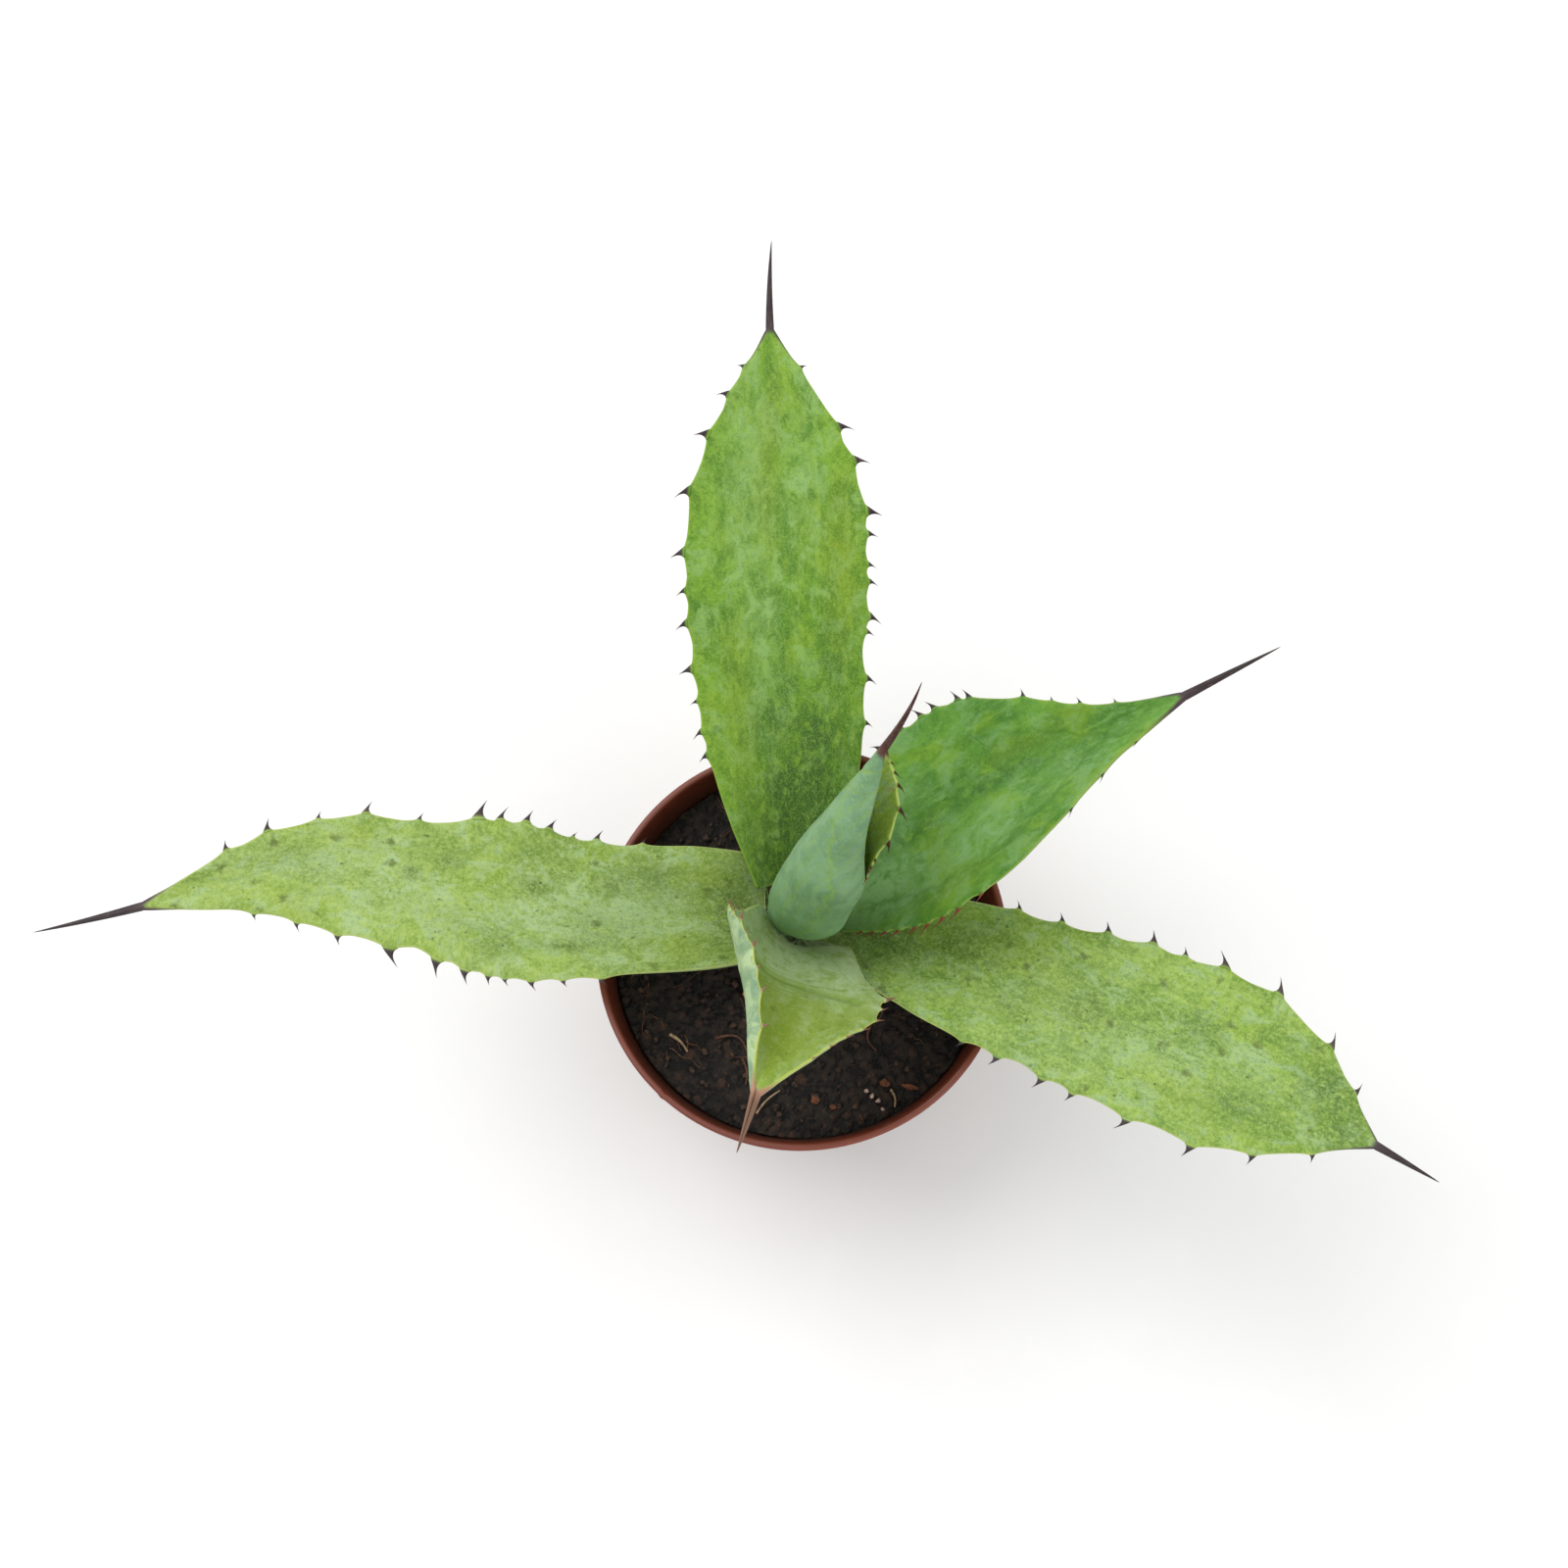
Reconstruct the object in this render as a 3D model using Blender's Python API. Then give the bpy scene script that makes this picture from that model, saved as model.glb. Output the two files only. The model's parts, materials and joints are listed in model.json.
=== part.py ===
"""A young agave in a round nursery pot. Metres, +Z up, origin at the centre of the pot's underside."""

import math

import bmesh
import bpy
import numpy as np

MM = 0.001
GAP = 0.3 * MM  # clearance between pieces that touch

# Pot
POT_HEIGHT = 115 * MM
RIM_DIAMETER = 140 * MM
BASE_DIAMETER = 100 * MM
POT_WALL = 1.6 * MM
POT_FLOOR = 2.4 * MM
LIP_WIDTH = 2.6 * MM
LIP_HEIGHT = 11 * MM
DRAIN_DIAMETER = 9 * MM
DRAIN_COUNT = 6
DRAIN_CIRCLE = 66 * MM
POT_STEPS = 72

# Soil and stem
SOIL_DROP = 15 * MM  # soil level below the rim
SOIL_MOUND = 0.8 * MM
STEM_DIAMETER = 21 * MM
STEM_TOP_DIAMETER = 16 * MM
STEM_RISE = 17 * MM  # stem above the soil
STEM_ROOT = 32 * MM  # stem below the soil
PLANT_SHIFT = 12 * MM  # stem axis ahead of the pot's axis, along +Y

# Leaves
STATIONS = 26
RING = 9
MARGIN_THICKNESS = 0.7 * MM
TOOTH_LENGTH = 3.4 * MM
TOOTH_BASE = 2.6 * MM
TOOTH_HOOK = 0.35  # how far a tooth's tip is drawn back toward the base, as a share of its length
TOOTH_FIRST = 0.3  # where the teeth start and end, as shares of the blade
TOOTH_LAST = 0.92

SOIL_TOP = POT_HEIGHT - SOIL_DROP
OPEN_RADIUS = RIM_DIAMETER / 2 - LIP_WIDTH - POT_WALL - 1.5 * MM

# Each leaf: start is the azimuth on the stem (degrees), the radius as a share of the stem's radius and the
# height above the soil as a share of the stem's rise;
# blade and spine are lengths (mm). The rest run evenly from the base to the tip: head is the compass
# heading, rise the climb and roll the twist (degrees), half the half width and thick the thickness
# (mm), fold and curl the channel's angles on the left and right halves (degrees) and wide, where given,
# how much wider than half each half is.
LEAF_LEFT = {
    "start": (183, 1.333, 0.265), "blade": 207, "spine": 34, "teeth": 20,
    "head": (188, 184, 172, 179, 197, 193), "rise": (34, 26, 18, 10, 4, 2),
    "roll": (9, 9, 4, -1, -9, -20), "half": (21.5, 24, 23.5, 25, 19.5, 17.5, 10, 1.3),
    "thick": (6.5, 6, 5, 4, 3.5, 3, 2.6, 2.5),
    "fold": ((25, 12, 5, 4, 8, 12), (25, 12, 5, 4, 8, 14)),
    "curl": ((25, 12, 4, 3, 6, 10), (25, 12, 4, 3, 6, 30)), "power": (1.5, 1.5),
}
LEAF_LOW_RIGHT = {
    "start": (345, 1.295, 0.265), "blade": 191, "spine": 21, "teeth": 15,
    "head": (332, 334, 336, 335, 329, 328), "rise": (34, 28, 20, 12, 6, 2),
    "roll": (0,), "half": (17, 20, 23, 23.5, 26, 26.5, 19.5, 1.3),
    "thick": (6.5, 6, 5, 4, 3.5, 3, 2.6, 2.5),
    "fold": ((25, 12, 5, 4, 6, 10), (25, 12, 5, 4, 6, 10)),
    "curl": ((25, 12, 4, 3, 4, 6), (25, 12, 4, 3, 4, 6)), "power": (1.5, 1.5),
}
LEAF_TOP = {
    "start": (100, 1.257, 0.541), "blade": 184, "spine": 28, "teeth": 16,
    "head": (94, 94, 93, 92, 93, 86), "rise": (40, 36, 32, 28, 24, 20),
    "roll": (0,), "half": (16.5, 22.5, 25.5, 26.5, 28, 26.5, 17, 1.3),
    "thick": (6.5, 6, 5, 4, 3.5, 3, 2.6, 2.5),
    "fold": ((25, 12, 5, 4, 6, 10), (25, 12, 5, 4, 6, 10)),
    "curl": ((25, 12, 4, 3, 4, 6), (25, 12, 4, 3, 4, 6)), "power": (1.5, 1.5),
}
LEAF_FRONT = {
    "start": (258, 1.505, 1.059), "blade": 107, "spine": 24, "teeth": 12,
    "head": (262, 261, 260, 259, 256, 253), "rise": (65, 62, 58, 52, 45, 38),
    "roll": (-14, -13, -10, -7, -5, -4), "half": (20, 25, 31.5, 30, 23, 14, 1.3),
    "thick": (4, 4.5, 4.2, 3.6, 3, 2.8, 2.5),
    "fold": ((25, 15, 8, 4, 4, 6), (24, 12, 17, 26, 30, 16)),
    "curl": ((5, -5, 5, 17, 38, 45), (28, 42, 59, 78, 100, 115)), "power": (1.5, 1.5),
}
LEAF_UPPER_RIGHT = {
    "start": (10, 1.381, 0.971), "blade": 148, "spine": 31, "teeth": 14,
    "head": (25, 25, 21, 18, 20, 20), "rise": (56, 52, 46, 40, 36, 33),
    "roll": (3, -2, -9, -10, -8, -6), "half": (14, 24.5, 30.5, 31.5, 23.5, 10, 1.3),
    "thick": (4, 4.6, 4.2, 3.6, 3, 2.8, 2.5),
    "fold": ((30, 20, 14, 12, 14, 16), (30, 20, 14, 12, 14, 16)),
    "curl": ((45, 30, 20, 16, 14, 12), (45, 30, 20, 16, 14, 12)), "power": (1.5, 1.5),
}
SPEAR_LEAF = {
    "start": (165, 0.857, 1.118), "blade": 115, "spine": 29, "teeth": 0,
    "head": (48, 38, 30, 27, 36, 66), "rise": (82, 75, 69, 68, 66, 46),
    "roll": (95,), "half": (19, 27, 34, 34, 24, 14, 1.3),
    "thick": (3, 3, 2.6, 2.4, 2.2, 2.4, 2.5),
    "fold": ((0,), (0,)),
    "wide": ((1.0, 1.2, 1.18, 1.1, 1), (0.9, 0.88, 0.85, 1, 1)),
    "curl": ((140, 158, 183, 187, 160, 180), (150, 150, 145, 140, 90, 70)), "power": (1.0, 0.7),
}
INNER_SPEAR_FROM = 0.06  # where it starts and ends, as shares of the spear leaf's blade
INNER_SPEAR_TO = 0.8
INNER_SPEAR_FILL = 0.42  # its radius as a share of the spear leaf's roll

# Dried leaf bases on the stem: azimuth (degrees), length and width (mm)
DRIED_BASES = ((236, 24, 7), (302, 14, 8), (140, 20, 5))

# Pieces on the soil: polar angle about the pot (degrees), share of the open radius, size in mm
BARK_CHIPS = ((-58.7, 0.84, (4.0, 3.6, 2.2), -8), (-52.5, 0.93, (6.8, 2.2, 1.6), -15),
              (-85.3, 0.812, (3.4, 3.0, 1.8), 0), (-79, 0.86, (2.4, 2.2, 1.4), -5))
GRAINS = ((-65.7, 0.83, 1.6), (-64.8, 0.868, 1.8), (-63.6, 0.905, 1.9), (-63.5, 0.955, 1.5))
STRAWS = ((-142.3, 0.889, 8.5, -44, 0.6), (-102.3, 0.896, 11, 44, 0.4), (-59, 0.99, 6, -78, 0.45))
ROOT_FIBRES = ((-125, 0.647, 13, -30, 0.45), (-115.1, 0.726, 9, -83, 0.4), (-51.5, 0.613, 9, -77, 0.4))
SOIL_PIECE_LIFT = 0.35 * MM

LEAF_GREENS = {
    "leaf_left": (0.30, 0.45, 0.17), "leaf_low_right": (0.28, 0.44, 0.16),
    "leaf_top": (0.17, 0.36, 0.07), "leaf_front": (0.25, 0.40, 0.12),
    "leaf_upper_right": (0.10, 0.29, 0.07), "spear_leaf": (0.17, 0.36, 0.22),
    "inner_spear": (0.34, 0.50, 0.20),
}


def clear_scene():
    for old in list(bpy.data.objects):
        bpy.data.objects.remove(old, do_unlink=True)


def collection(name, hidden=False):
    made = bpy.data.collections.new(name)
    bpy.context.scene.collection.children.link(made)
    made.hide_render = hidden
    return made


def material(name, colour, roughness, metallic=0.0):
    made = bpy.data.materials.new(name)
    made.use_nodes = True
    shader = made.node_tree.nodes["Principled BSDF"]
    shader.inputs["Base Color"].default_value = (*colour, 1.0)
    shader.inputs["Roughness"].default_value = roughness
    shader.inputs["Metallic"].default_value = metallic
    return made


def add_object(name, points, faces, into, look=None):
    """A mesh object from points and faces, facing out."""
    mesh = bpy.data.meshes.new(name)
    mesh.from_pydata([tuple(map(float, p)) for p in points], [], [tuple(map(int, f)) for f in faces])
    work = bmesh.new()
    work.from_mesh(mesh)
    bmesh.ops.recalc_face_normals(work, faces=work.faces)
    if work.calc_volume(signed=True) < 0:
        bmesh.ops.reverse_faces(work, faces=work.faces)
    work.to_mesh(mesh)
    work.free()
    made = bpy.data.objects.new(name, mesh)
    into.objects.link(made)
    if look:
        mesh.materials.append(look)
    return made


def as_cutter(obj):
    obj.hide_render = True
    obj.display_type = "WIRE"
    return obj


def boolean(obj, other, operation):
    made = obj.modifiers.new(operation.lower() + "_" + other.name, "BOOLEAN")
    made.operation = operation
    made.solver = "EXACT"
    made.object = other
    return made


def turned(name, profile, steps, into, look=None, centre=(0.0, 0.0)):
    """A closed body turned about a vertical axis from a profile of (radius, height), top to bottom."""
    points = [(0.0, 0.0, profile[0][1])]
    points += [
        (r * math.cos(2 * math.pi * k / steps), r * math.sin(2 * math.pi * k / steps), z)
        for r, z in profile
        for k in range(steps)
    ]
    points.append((0.0, 0.0, profile[-1][1]))
    faces = []
    for k in range(steps):
        after = (k + 1) % steps
        faces.append((0, 1 + k, 1 + after))
        for row in range(len(profile) - 1):
            low = 1 + row * steps
            faces.append((low + k, low + steps + k, low + steps + after, low + after))
        last = 1 + (len(profile) - 1) * steps
        faces.append((len(points) - 1, last + after, last + k))
    points = [(x + centre[0], y + centre[1], z) for x, y, z in points]
    return add_object(name, points, faces, into, look)


def smooth_values(values, at):
    """A smooth curve without overshoot through evenly spaced values, read at shares 0 to 1."""
    v = np.asarray(values, float)
    if len(v) == 1:
        return np.full(np.shape(at), v[0])
    x = np.clip(at, 0, 1) * (len(v) - 1)
    i = np.minimum(x.astype(int), len(v) - 2)
    t = x - i
    steps = np.diff(v)
    before = np.r_[steps[0], steps]
    after = np.r_[steps, steps[-1]]
    limit = 3 * np.minimum(abs(before), abs(after))
    slope = np.where(before * after <= 0, 0, np.clip(np.gradient(v), -limit, limit))
    rise = (3 - 2 * t) * t * t
    return (
        (1 - rise) * v[i]
        + rise * v[i + 1]
        + (t - 2 * t**2 + t**3) * slope[i]
        + (t**3 - t**2) * slope[i + 1]
    )


def leaf_axis(leaf, at):
    """Midrib point, side and normal at shares of the whole length, with the spine."""
    fine = np.linspace(0, 1, 401)
    length = (leaf["blade"] + leaf["spine"]) * MM
    rise = np.radians(smooth_values(leaf["rise"], fine))
    head = np.radians(smooth_values(leaf["head"], fine))
    roll = np.radians(smooth_values(leaf["roll"], fine))[:, None]
    along = np.c_[np.cos(rise) * np.cos(head), np.cos(rise) * np.sin(head), np.sin(rise)]
    steps = 0.5 * (along[1:] + along[:-1]) * length / 400
    angle, radius, height = leaf["start"]
    start = np.array([
        radius * STEM_DIAMETER / 2 * math.cos(math.radians(angle)),
        radius * STEM_DIAMETER / 2 * math.sin(math.radians(angle)) + PLANT_SHIFT,
        height * STEM_RISE + SOIL_TOP,
    ])
    points = start + np.r_[[np.zeros(3)], np.cumsum(steps, 0)]
    level = np.c_[-np.sin(head), np.cos(head), np.zeros_like(head)]
    up = np.cross(along, level)
    side = level * np.cos(roll) + up * np.sin(roll)
    normal = up * np.cos(roll) - level * np.sin(roll)
    return [np.stack([np.interp(at, fine, a[:, k]) for k in range(3)], 1) for a in (points, side, normal)]


def leaf_points(leaf, at, across, face):
    """Points at shares along the leaf and -1..1 across it; face is 1 above, -1 below, 0 mid-thickness."""
    centre, side, normal = leaf_axis(leaf, at)
    length = leaf["blade"] + leaf["spine"]
    on_blade = np.clip(at * length / leaf["blade"], 0, 1)
    on_spine = np.clip((at * length - leaf["blade"]) / leaf["spine"], 0, 1)
    taper = (1 - on_spine) ** 0.8
    half = smooth_values(leaf["half"], on_blade) * taper * MM + 0.1 * MM * (on_spine > 0)
    thick = smooth_values(leaf["thick"], on_blade) * 0.5 * taper * MM + 0.1 * MM * (on_spine > 0)
    toward_spine = np.clip((on_blade - 0.93) / 0.07, 0, 1)
    rows = []
    for v in across:
        hand = 0 if v >= 0 else 1
        fold = np.radians(smooth_values(leaf["fold"][hand], on_blade))
        curl = np.radians(smooth_values(leaf["curl"][hand], on_blade))
        power = leaf["power"][hand]
        share = abs(v)
        wide = smooth_values(leaf.get("wide", ((1,), (1,)))[hand], on_blade)
        q = (np.arange(24) + 0.5) / 24 * share
        angle = fold[:, None] * np.tanh(q / 0.18) + curl[:, None] * q**power
        out = np.cos(angle).mean(1) * share * half * wide
        lift = np.sin(angle).mean(1) * share * half * wide
        local = fold * np.tanh(share / 0.18) + curl * share**power
        lens = math.sqrt(max(1 - share**2.2, 0))
        depth = thick * lens + MARGIN_THICKNESS / 2 * (1 - toward_spine) * (1 - lens)
        depth = face * np.maximum(depth, 0.02 * MM)
        sign = 1 if v >= 0 else -1
        out = sign * (out - depth * np.sin(local))
        lift = lift + depth * np.cos(local)
        rows.append(centre + side * out[:, None] + normal * lift[:, None])
    return np.stack(rows, 1)


def leaf_stations(leaf):
    """Shares of the whole length for the rings, and how far the left and right margins reach out there."""
    length = (leaf["blade"] + leaf["spine"]) * MM
    tip = leaf["blade"] * MM / length
    if not leaf["teeth"]:
        rows = [(share, (0, 0)) for share in np.linspace(0, tip, STATIONS)]
    else:
        rows = [(share, (0, 0)) for share in np.linspace(0, TOOTH_FIRST - 0.03, 6) * tip]
        for k in range(leaf["teeth"]):
            first = (TOOTH_FIRST + (TOOTH_LAST - TOOTH_FIRST) * k / leaf["teeth"]) * tip
            size = TOOTH_LENGTH * (0.65 + 0.35 * math.sin(math.pi * (k + 0.5) / leaf["teeth"]))
            for step, pair in enumerate(((0, 0), (size, 0), (0, size), (0, 0))):
                rows.append((first + step * TOOTH_BASE / 2 / length, pair))
        rows += [(share, (0, 0)) for share in (TOOTH_LAST + np.array([0.01, 0.03, 0.05, 0.07])) * tip]
        rows.append((tip, (0, 0)))
    rows += [(share, (0, 0)) for share in tip + (0.96 - tip) * np.linspace(0, 1, 6)[1:]]
    return np.array([share for share, _ in rows]), np.array([pair for _, pair in rows], float)


def leaf_rings(leaf):
    """Closed rings of points round the leaf from its base to the spine, with the teeth in them."""
    at, reach = leaf_stations(leaf)
    across = np.sin(np.linspace(-math.pi / 2, math.pi / 2, RING))
    above = leaf_points(leaf, at, across, 1)
    below = leaf_points(leaf, at, across[::-1][1:-1], -1)
    back = leaf_axis(leaf, np.clip(at - 0.01, 0, 1))[0] - leaf_axis(leaf, np.clip(at + 0.01, 0, 1))[0]
    back /= np.linalg.norm(back, axis=1)[:, None]
    for edge, inner, hand in ((-1, -2, 0), (0, 1, 1)):
        out = above[:, edge] - 0.5 * (above[:, inner] + below[:, -1 if hand else 0])
        out /= np.linalg.norm(out, axis=1)[:, None]
        above[:, edge] += reach[:, hand, None] * (out + TOOTH_HOOK * back)
    return np.concatenate([above, below], 1)


def lofted(name, rings, tip, into, look=None):
    """A closed body through rings of equal count, from a flat base to a point."""
    rows, count = rings.shape[:2]
    points = np.r_[rings.reshape(-1, 3), [rings[0].mean(0)], [tip]]
    faces = []
    for row in range(rows - 1):
        for k in range(count):
            after = (k + 1) % count
            a, b = row * count + k, row * count + after
            c, d = a + count, b + count
            faces += [(a, b, d), (a, d, c)]
    base = rows * count
    for k in range(count):
        after = (k + 1) % count
        faces.append((base, after, k))
        faces.append((base + 1, base - count + k, base - count + after))
    return add_object(name, points, faces, into, look)


def leaf_body(name, leaf, into):
    """One leaf with its teeth and terminal spine."""
    look = material(name + "_green", LEAF_GREENS[name], 0.48)
    tip = leaf_axis(leaf, np.array([1.0]))[0][0]
    return lofted(name, leaf_rings(leaf), tip, into, look)


def make_pot(into, cutters):
    look = material("pot_brown_plastic", (0.17, 0.045, 0.022), 0.42)
    top, base = RIM_DIAMETER / 2, BASE_DIAMETER / 2
    under_lip = top - LIP_WIDTH
    inner = under_lip - POT_WALL
    lip_low = POT_HEIGHT - LIP_HEIGHT
    profile = [
        (base - POT_WALL - 1 * MM, POT_FLOOR),
        (base - POT_WALL, POT_FLOOR + 1 * MM),
        (inner, lip_low),
        (inner + 1.4 * MM, POT_HEIGHT - 0.8 * MM),
        (inner + 2 * MM, POT_HEIGHT),
        (top - 0.8 * MM, POT_HEIGHT),
        (top, POT_HEIGHT - 0.9 * MM),
        (top - 0.7 * MM, lip_low),
        (under_lip, lip_low),
        (base, 1.2 * MM),
        (base - 1.2 * MM, 0),
    ]
    pot = turned("pot", profile, POT_STEPS, into, look)
    for k in range(DRAIN_COUNT):
        angle = 2 * math.pi * (k + 0.54) / DRAIN_COUNT
        place = (DRAIN_CIRCLE / 2 * math.cos(angle), DRAIN_CIRCLE / 2 * math.sin(angle))
        shape = [(DRAIN_DIAMETER / 2, POT_FLOOR + 3 * MM), (DRAIN_DIAMETER / 2, -3 * MM)]
        cutter = turned(f"drain_{k + 1}", shape, 20, cutters, centre=place)
        boolean(pot, as_cutter(cutter), "DIFFERENCE")
    return pot


def inner_radius(height):
    """The pot's inside radius at a height below the lip."""
    low, high = POT_FLOOR + 1 * MM, POT_HEIGHT - LIP_HEIGHT
    share = (height - low) / (high - low)
    base = BASE_DIAMETER / 2 - POT_WALL
    return base + share * (RIM_DIAMETER / 2 - LIP_WIDTH - POT_WALL - base)


def soil_surface(x, y):
    """Soil height, with a mound round the stem and shallow hollows."""
    near = math.hypot(x, y - PLANT_SHIFT) / OPEN_RADIUS
    ripple = 0.5 * MM * math.sin(150 * x + 1.1) * math.cos(120 * y - 0.6)
    return SOIL_TOP + SOIL_MOUND * math.exp(-((near / 0.45) ** 2)) + ripple


def make_soil(into, stem_pit):
    look = material("soil_dark_peat", (0.022, 0.013, 0.009), 0.95)
    steps, rings = 48, 9
    edge = inner_radius(SOIL_TOP - 1 * MM) - GAP
    points, faces = [], []
    for ring in range(1, rings + 1):
        radius = edge * ring / rings
        for k in range(steps):
            x = radius * math.cos(2 * math.pi * k / steps)
            y = radius * math.sin(2 * math.pi * k / steps)
            points.append((x, y, SOIL_TOP - 1 * MM if ring == rings else soil_surface(x, y)))
    bottom = POT_FLOOR + 1 * MM + GAP
    for radius, z in ((inner_radius(bottom) - GAP, bottom), (BASE_DIAMETER / 4, bottom)):
        for k in range(steps):
            angle = 2 * math.pi * k / steps
            points.append((radius * math.cos(angle), radius * math.sin(angle), z))
    for row in range(rings + 1):
        for k in range(steps):
            after = (k + 1) % steps
            a, b = row * steps + k, row * steps + after
            faces.append((a, a + steps, b + steps, b))
    top, low = len(points), len(points) + 1
    points += [(0, 0, soil_surface(0, 0)), (0, 0, bottom)]
    last = (rings + 1) * steps
    for k in range(steps):
        after = (k + 1) % steps
        faces.append((top, k, after))
        faces.append((low, last + after, last + k))
    soil = add_object("soil", points, faces, into, look)
    boolean(soil, stem_pit, "DIFFERENCE")
    return soil


def stem_profile(grow=0.0):
    foot, head = STEM_DIAMETER / 2, STEM_TOP_DIAMETER / 2
    top = SOIL_TOP + STEM_RISE
    return [
        (head * 0.55 + grow, top + grow),
        (head + grow, top - 1.5 * MM + grow),
        (foot * 0.93 + grow, SOIL_TOP + STEM_RISE * 0.45),
        (foot + grow, SOIL_TOP - 2 * MM),
        (foot + grow, SOIL_TOP - STEM_ROOT * 0.5),
        (foot * 0.55 + grow, SOIL_TOP - STEM_ROOT - grow),
    ]


def make_stem(into):
    look = material("stem_tan", (0.28, 0.19, 0.09), 0.8)
    return turned("stem", stem_profile(), 24, into, look, (0, PLANT_SHIFT))


def make_inner_spear(into, look):
    """The furled next leaf: a slim cone along the middle of the rolled spear leaf."""
    tip = SPEAR_LEAF["blade"] / (SPEAR_LEAF["blade"] + SPEAR_LEAF["spine"])
    share = np.linspace(INNER_SPEAR_FROM, INNER_SPEAR_TO, 13)
    bore = smooth_values(SPEAR_LEAF["half"], share) * MM * np.minimum(*(
        smooth_values(SPEAR_LEAF["wide"][hand], share) / np.radians(smooth_values(SPEAR_LEAF["curl"][hand], share))
        for hand in (0, 1)
    ))
    centre, side, normal = leaf_axis(SPEAR_LEAF, share * tip)
    centre = centre + normal * bore[:, None] + side * bore[:, None] * 0.1
    taper = np.linspace(0, 1, 13)
    radius = INNER_SPEAR_FILL * bore * (1 - 0.9 * taper**3)
    turn = np.linspace(0, 2 * math.pi, 13)[:-1]
    rings = [
        c + r * (np.cos(turn)[:, None] * s + np.sin(turn)[:, None] * n)
        for c, r, s, n in zip(centre, radius, side, normal)
    ]
    end = centre[-1] + (centre[-1] - centre[-2]) * 0.8
    return lofted("inner_spear", np.array(rings), end, into, look)


def make_dried_bases(into):
    """Tan straps left from lost leaves: each starts at the stem and lies outward, just clear of the soil."""
    look = material("dried_leaf_husk", (0.45, 0.30, 0.13), 0.85)
    for number, (angle, long, wide) in enumerate(DRIED_BASES):
        out = np.array([math.cos(math.radians(angle)), math.sin(math.radians(angle)), 0])
        side = np.array([-out[1], out[0], 0])
        turn = np.linspace(0, 2 * math.pi, 11)[:-1]
        rings = []
        for share in np.linspace(0, 0.92, 8):
            reach = STEM_DIAMETER / 2 + GAP + 0.4 * MM + long * MM * share
            x, y = reach * out[0], reach * out[1] + PLANT_SHIFT
            height = soil_surface(x, y) + 1.3 * MM - 0.4 * MM * share
            half = wide * MM / 2 * (1 - 0.6 * share**2)
            across = half * np.cos(turn)[:, None] * side
            up = np.array([0, 0, 1])
            ring = np.array([x, y, height]) + across + 0.5 * MM * np.sin(turn)[:, None] * up
            rings.append(ring + up * (np.cos(turn)[:, None] ** 2) * wide * MM * 0.12)
        end = rings[-1].mean(0) + out * 1.5 * MM
        lofted(f"dried_leaf_base_{number + 1}", np.array(rings), end, into, look)


def on_soil(angle, share):
    radius = share * OPEN_RADIUS
    x = radius * math.cos(math.radians(angle))
    y = radius * math.sin(math.radians(angle))
    return np.array([x, y, soil_surface(x, y)])


def add_pebble(name, size, place, turn, rough, into, look):
    """A faceted chip or grain: a squashed ico-sphere with uneven corners."""
    work = bmesh.new()
    bmesh.ops.create_icosphere(work, subdivisions=2, radius=0.5)
    cos, sin = math.cos(math.radians(turn)), math.sin(math.radians(turn))
    for k, vert in enumerate(work.verts):
        wobble = 1 + rough * math.sin(12.9 * k + 3.1 * turn)
        x, y, z = (c * wobble * s * MM for c, s in zip(vert.co, size))
        vert.co = (x * cos - y * sin + place[0], x * sin + y * cos + place[1], z)
    lowest = min(v.co.z for v in work.verts)
    for vert in work.verts:
        vert.co.z += place[2] + SOIL_PIECE_LIFT + 0.35 * MM - lowest
    mesh = bpy.data.meshes.new(name)
    work.to_mesh(mesh)
    work.free()
    mesh.materials.append(look)
    into.objects.link(bpy.data.objects.new(name, mesh))


def add_strand(name, place, length, heading, radius, bow, look, into):
    """A straw or fibre that lies along the soil, as a bevelled curve."""
    curve = bpy.data.curves.new(name, "CURVE")
    curve.dimensions = "3D"
    spline = curve.splines.new("POLY")
    count = 9
    spline.points.add(count - 1)
    head = math.radians(heading)
    for k in range(count):
        share = k / (count - 1)
        run = (share - 0.5) * length * MM
        off = bow * MM * math.sin(math.pi * share)
        x = place[0] + run * math.cos(head) - off * math.sin(head)
        y = place[1] + run * math.sin(head) + off * math.cos(head)
        z = soil_surface(x, y) + radius * MM + SOIL_PIECE_LIFT + 0.9 * MM
        spline.points[k].co = (x, y, z, 1)
        spline.points[k].radius = 1 - 0.45 * share
    curve.bevel_depth = radius * MM
    curve.bevel_resolution = 2
    curve.use_fill_caps = True
    curve.materials.append(look)
    into.objects.link(bpy.data.objects.new(name, curve))


def make_litter(into):
    """Bark, grains, straws and dead root fibres on the soil."""
    bark = material("bark_orange_brown", (0.20, 0.085, 0.03), 0.85)
    grain = material("grain_pale", (0.55, 0.42, 0.36), 0.7)
    straw = material("straw_pale", (0.42, 0.32, 0.18), 0.8)
    fibre = material("root_fibre_red_brown", (0.22, 0.09, 0.04), 0.85)
    for k, (angle, share, size, turn) in enumerate(BARK_CHIPS):
        add_pebble(f"bark_chip_{k + 1}", size, on_soil(angle, share), turn, 0.12, into, bark)
    for k, (angle, share, size) in enumerate(GRAINS):
        add_pebble(f"grain_{k + 1}", (size,) * 3, on_soil(angle, share), 40 * k, 0.06, into, grain)
    for k, (angle, share, length, heading, radius) in enumerate(STRAWS):
        place = on_soil(angle, share - 0.06)
        add_strand(f"straw_{k + 1}", place, length, heading, radius, 0.8, straw, into)
    for k, (angle, share, length, heading, radius) in enumerate(ROOT_FIBRES):
        place = on_soil(angle, share)
        add_strand(f"root_fibre_{k + 1}", place, length, heading, radius, 4 - 3 * k, fibre, into)


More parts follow.
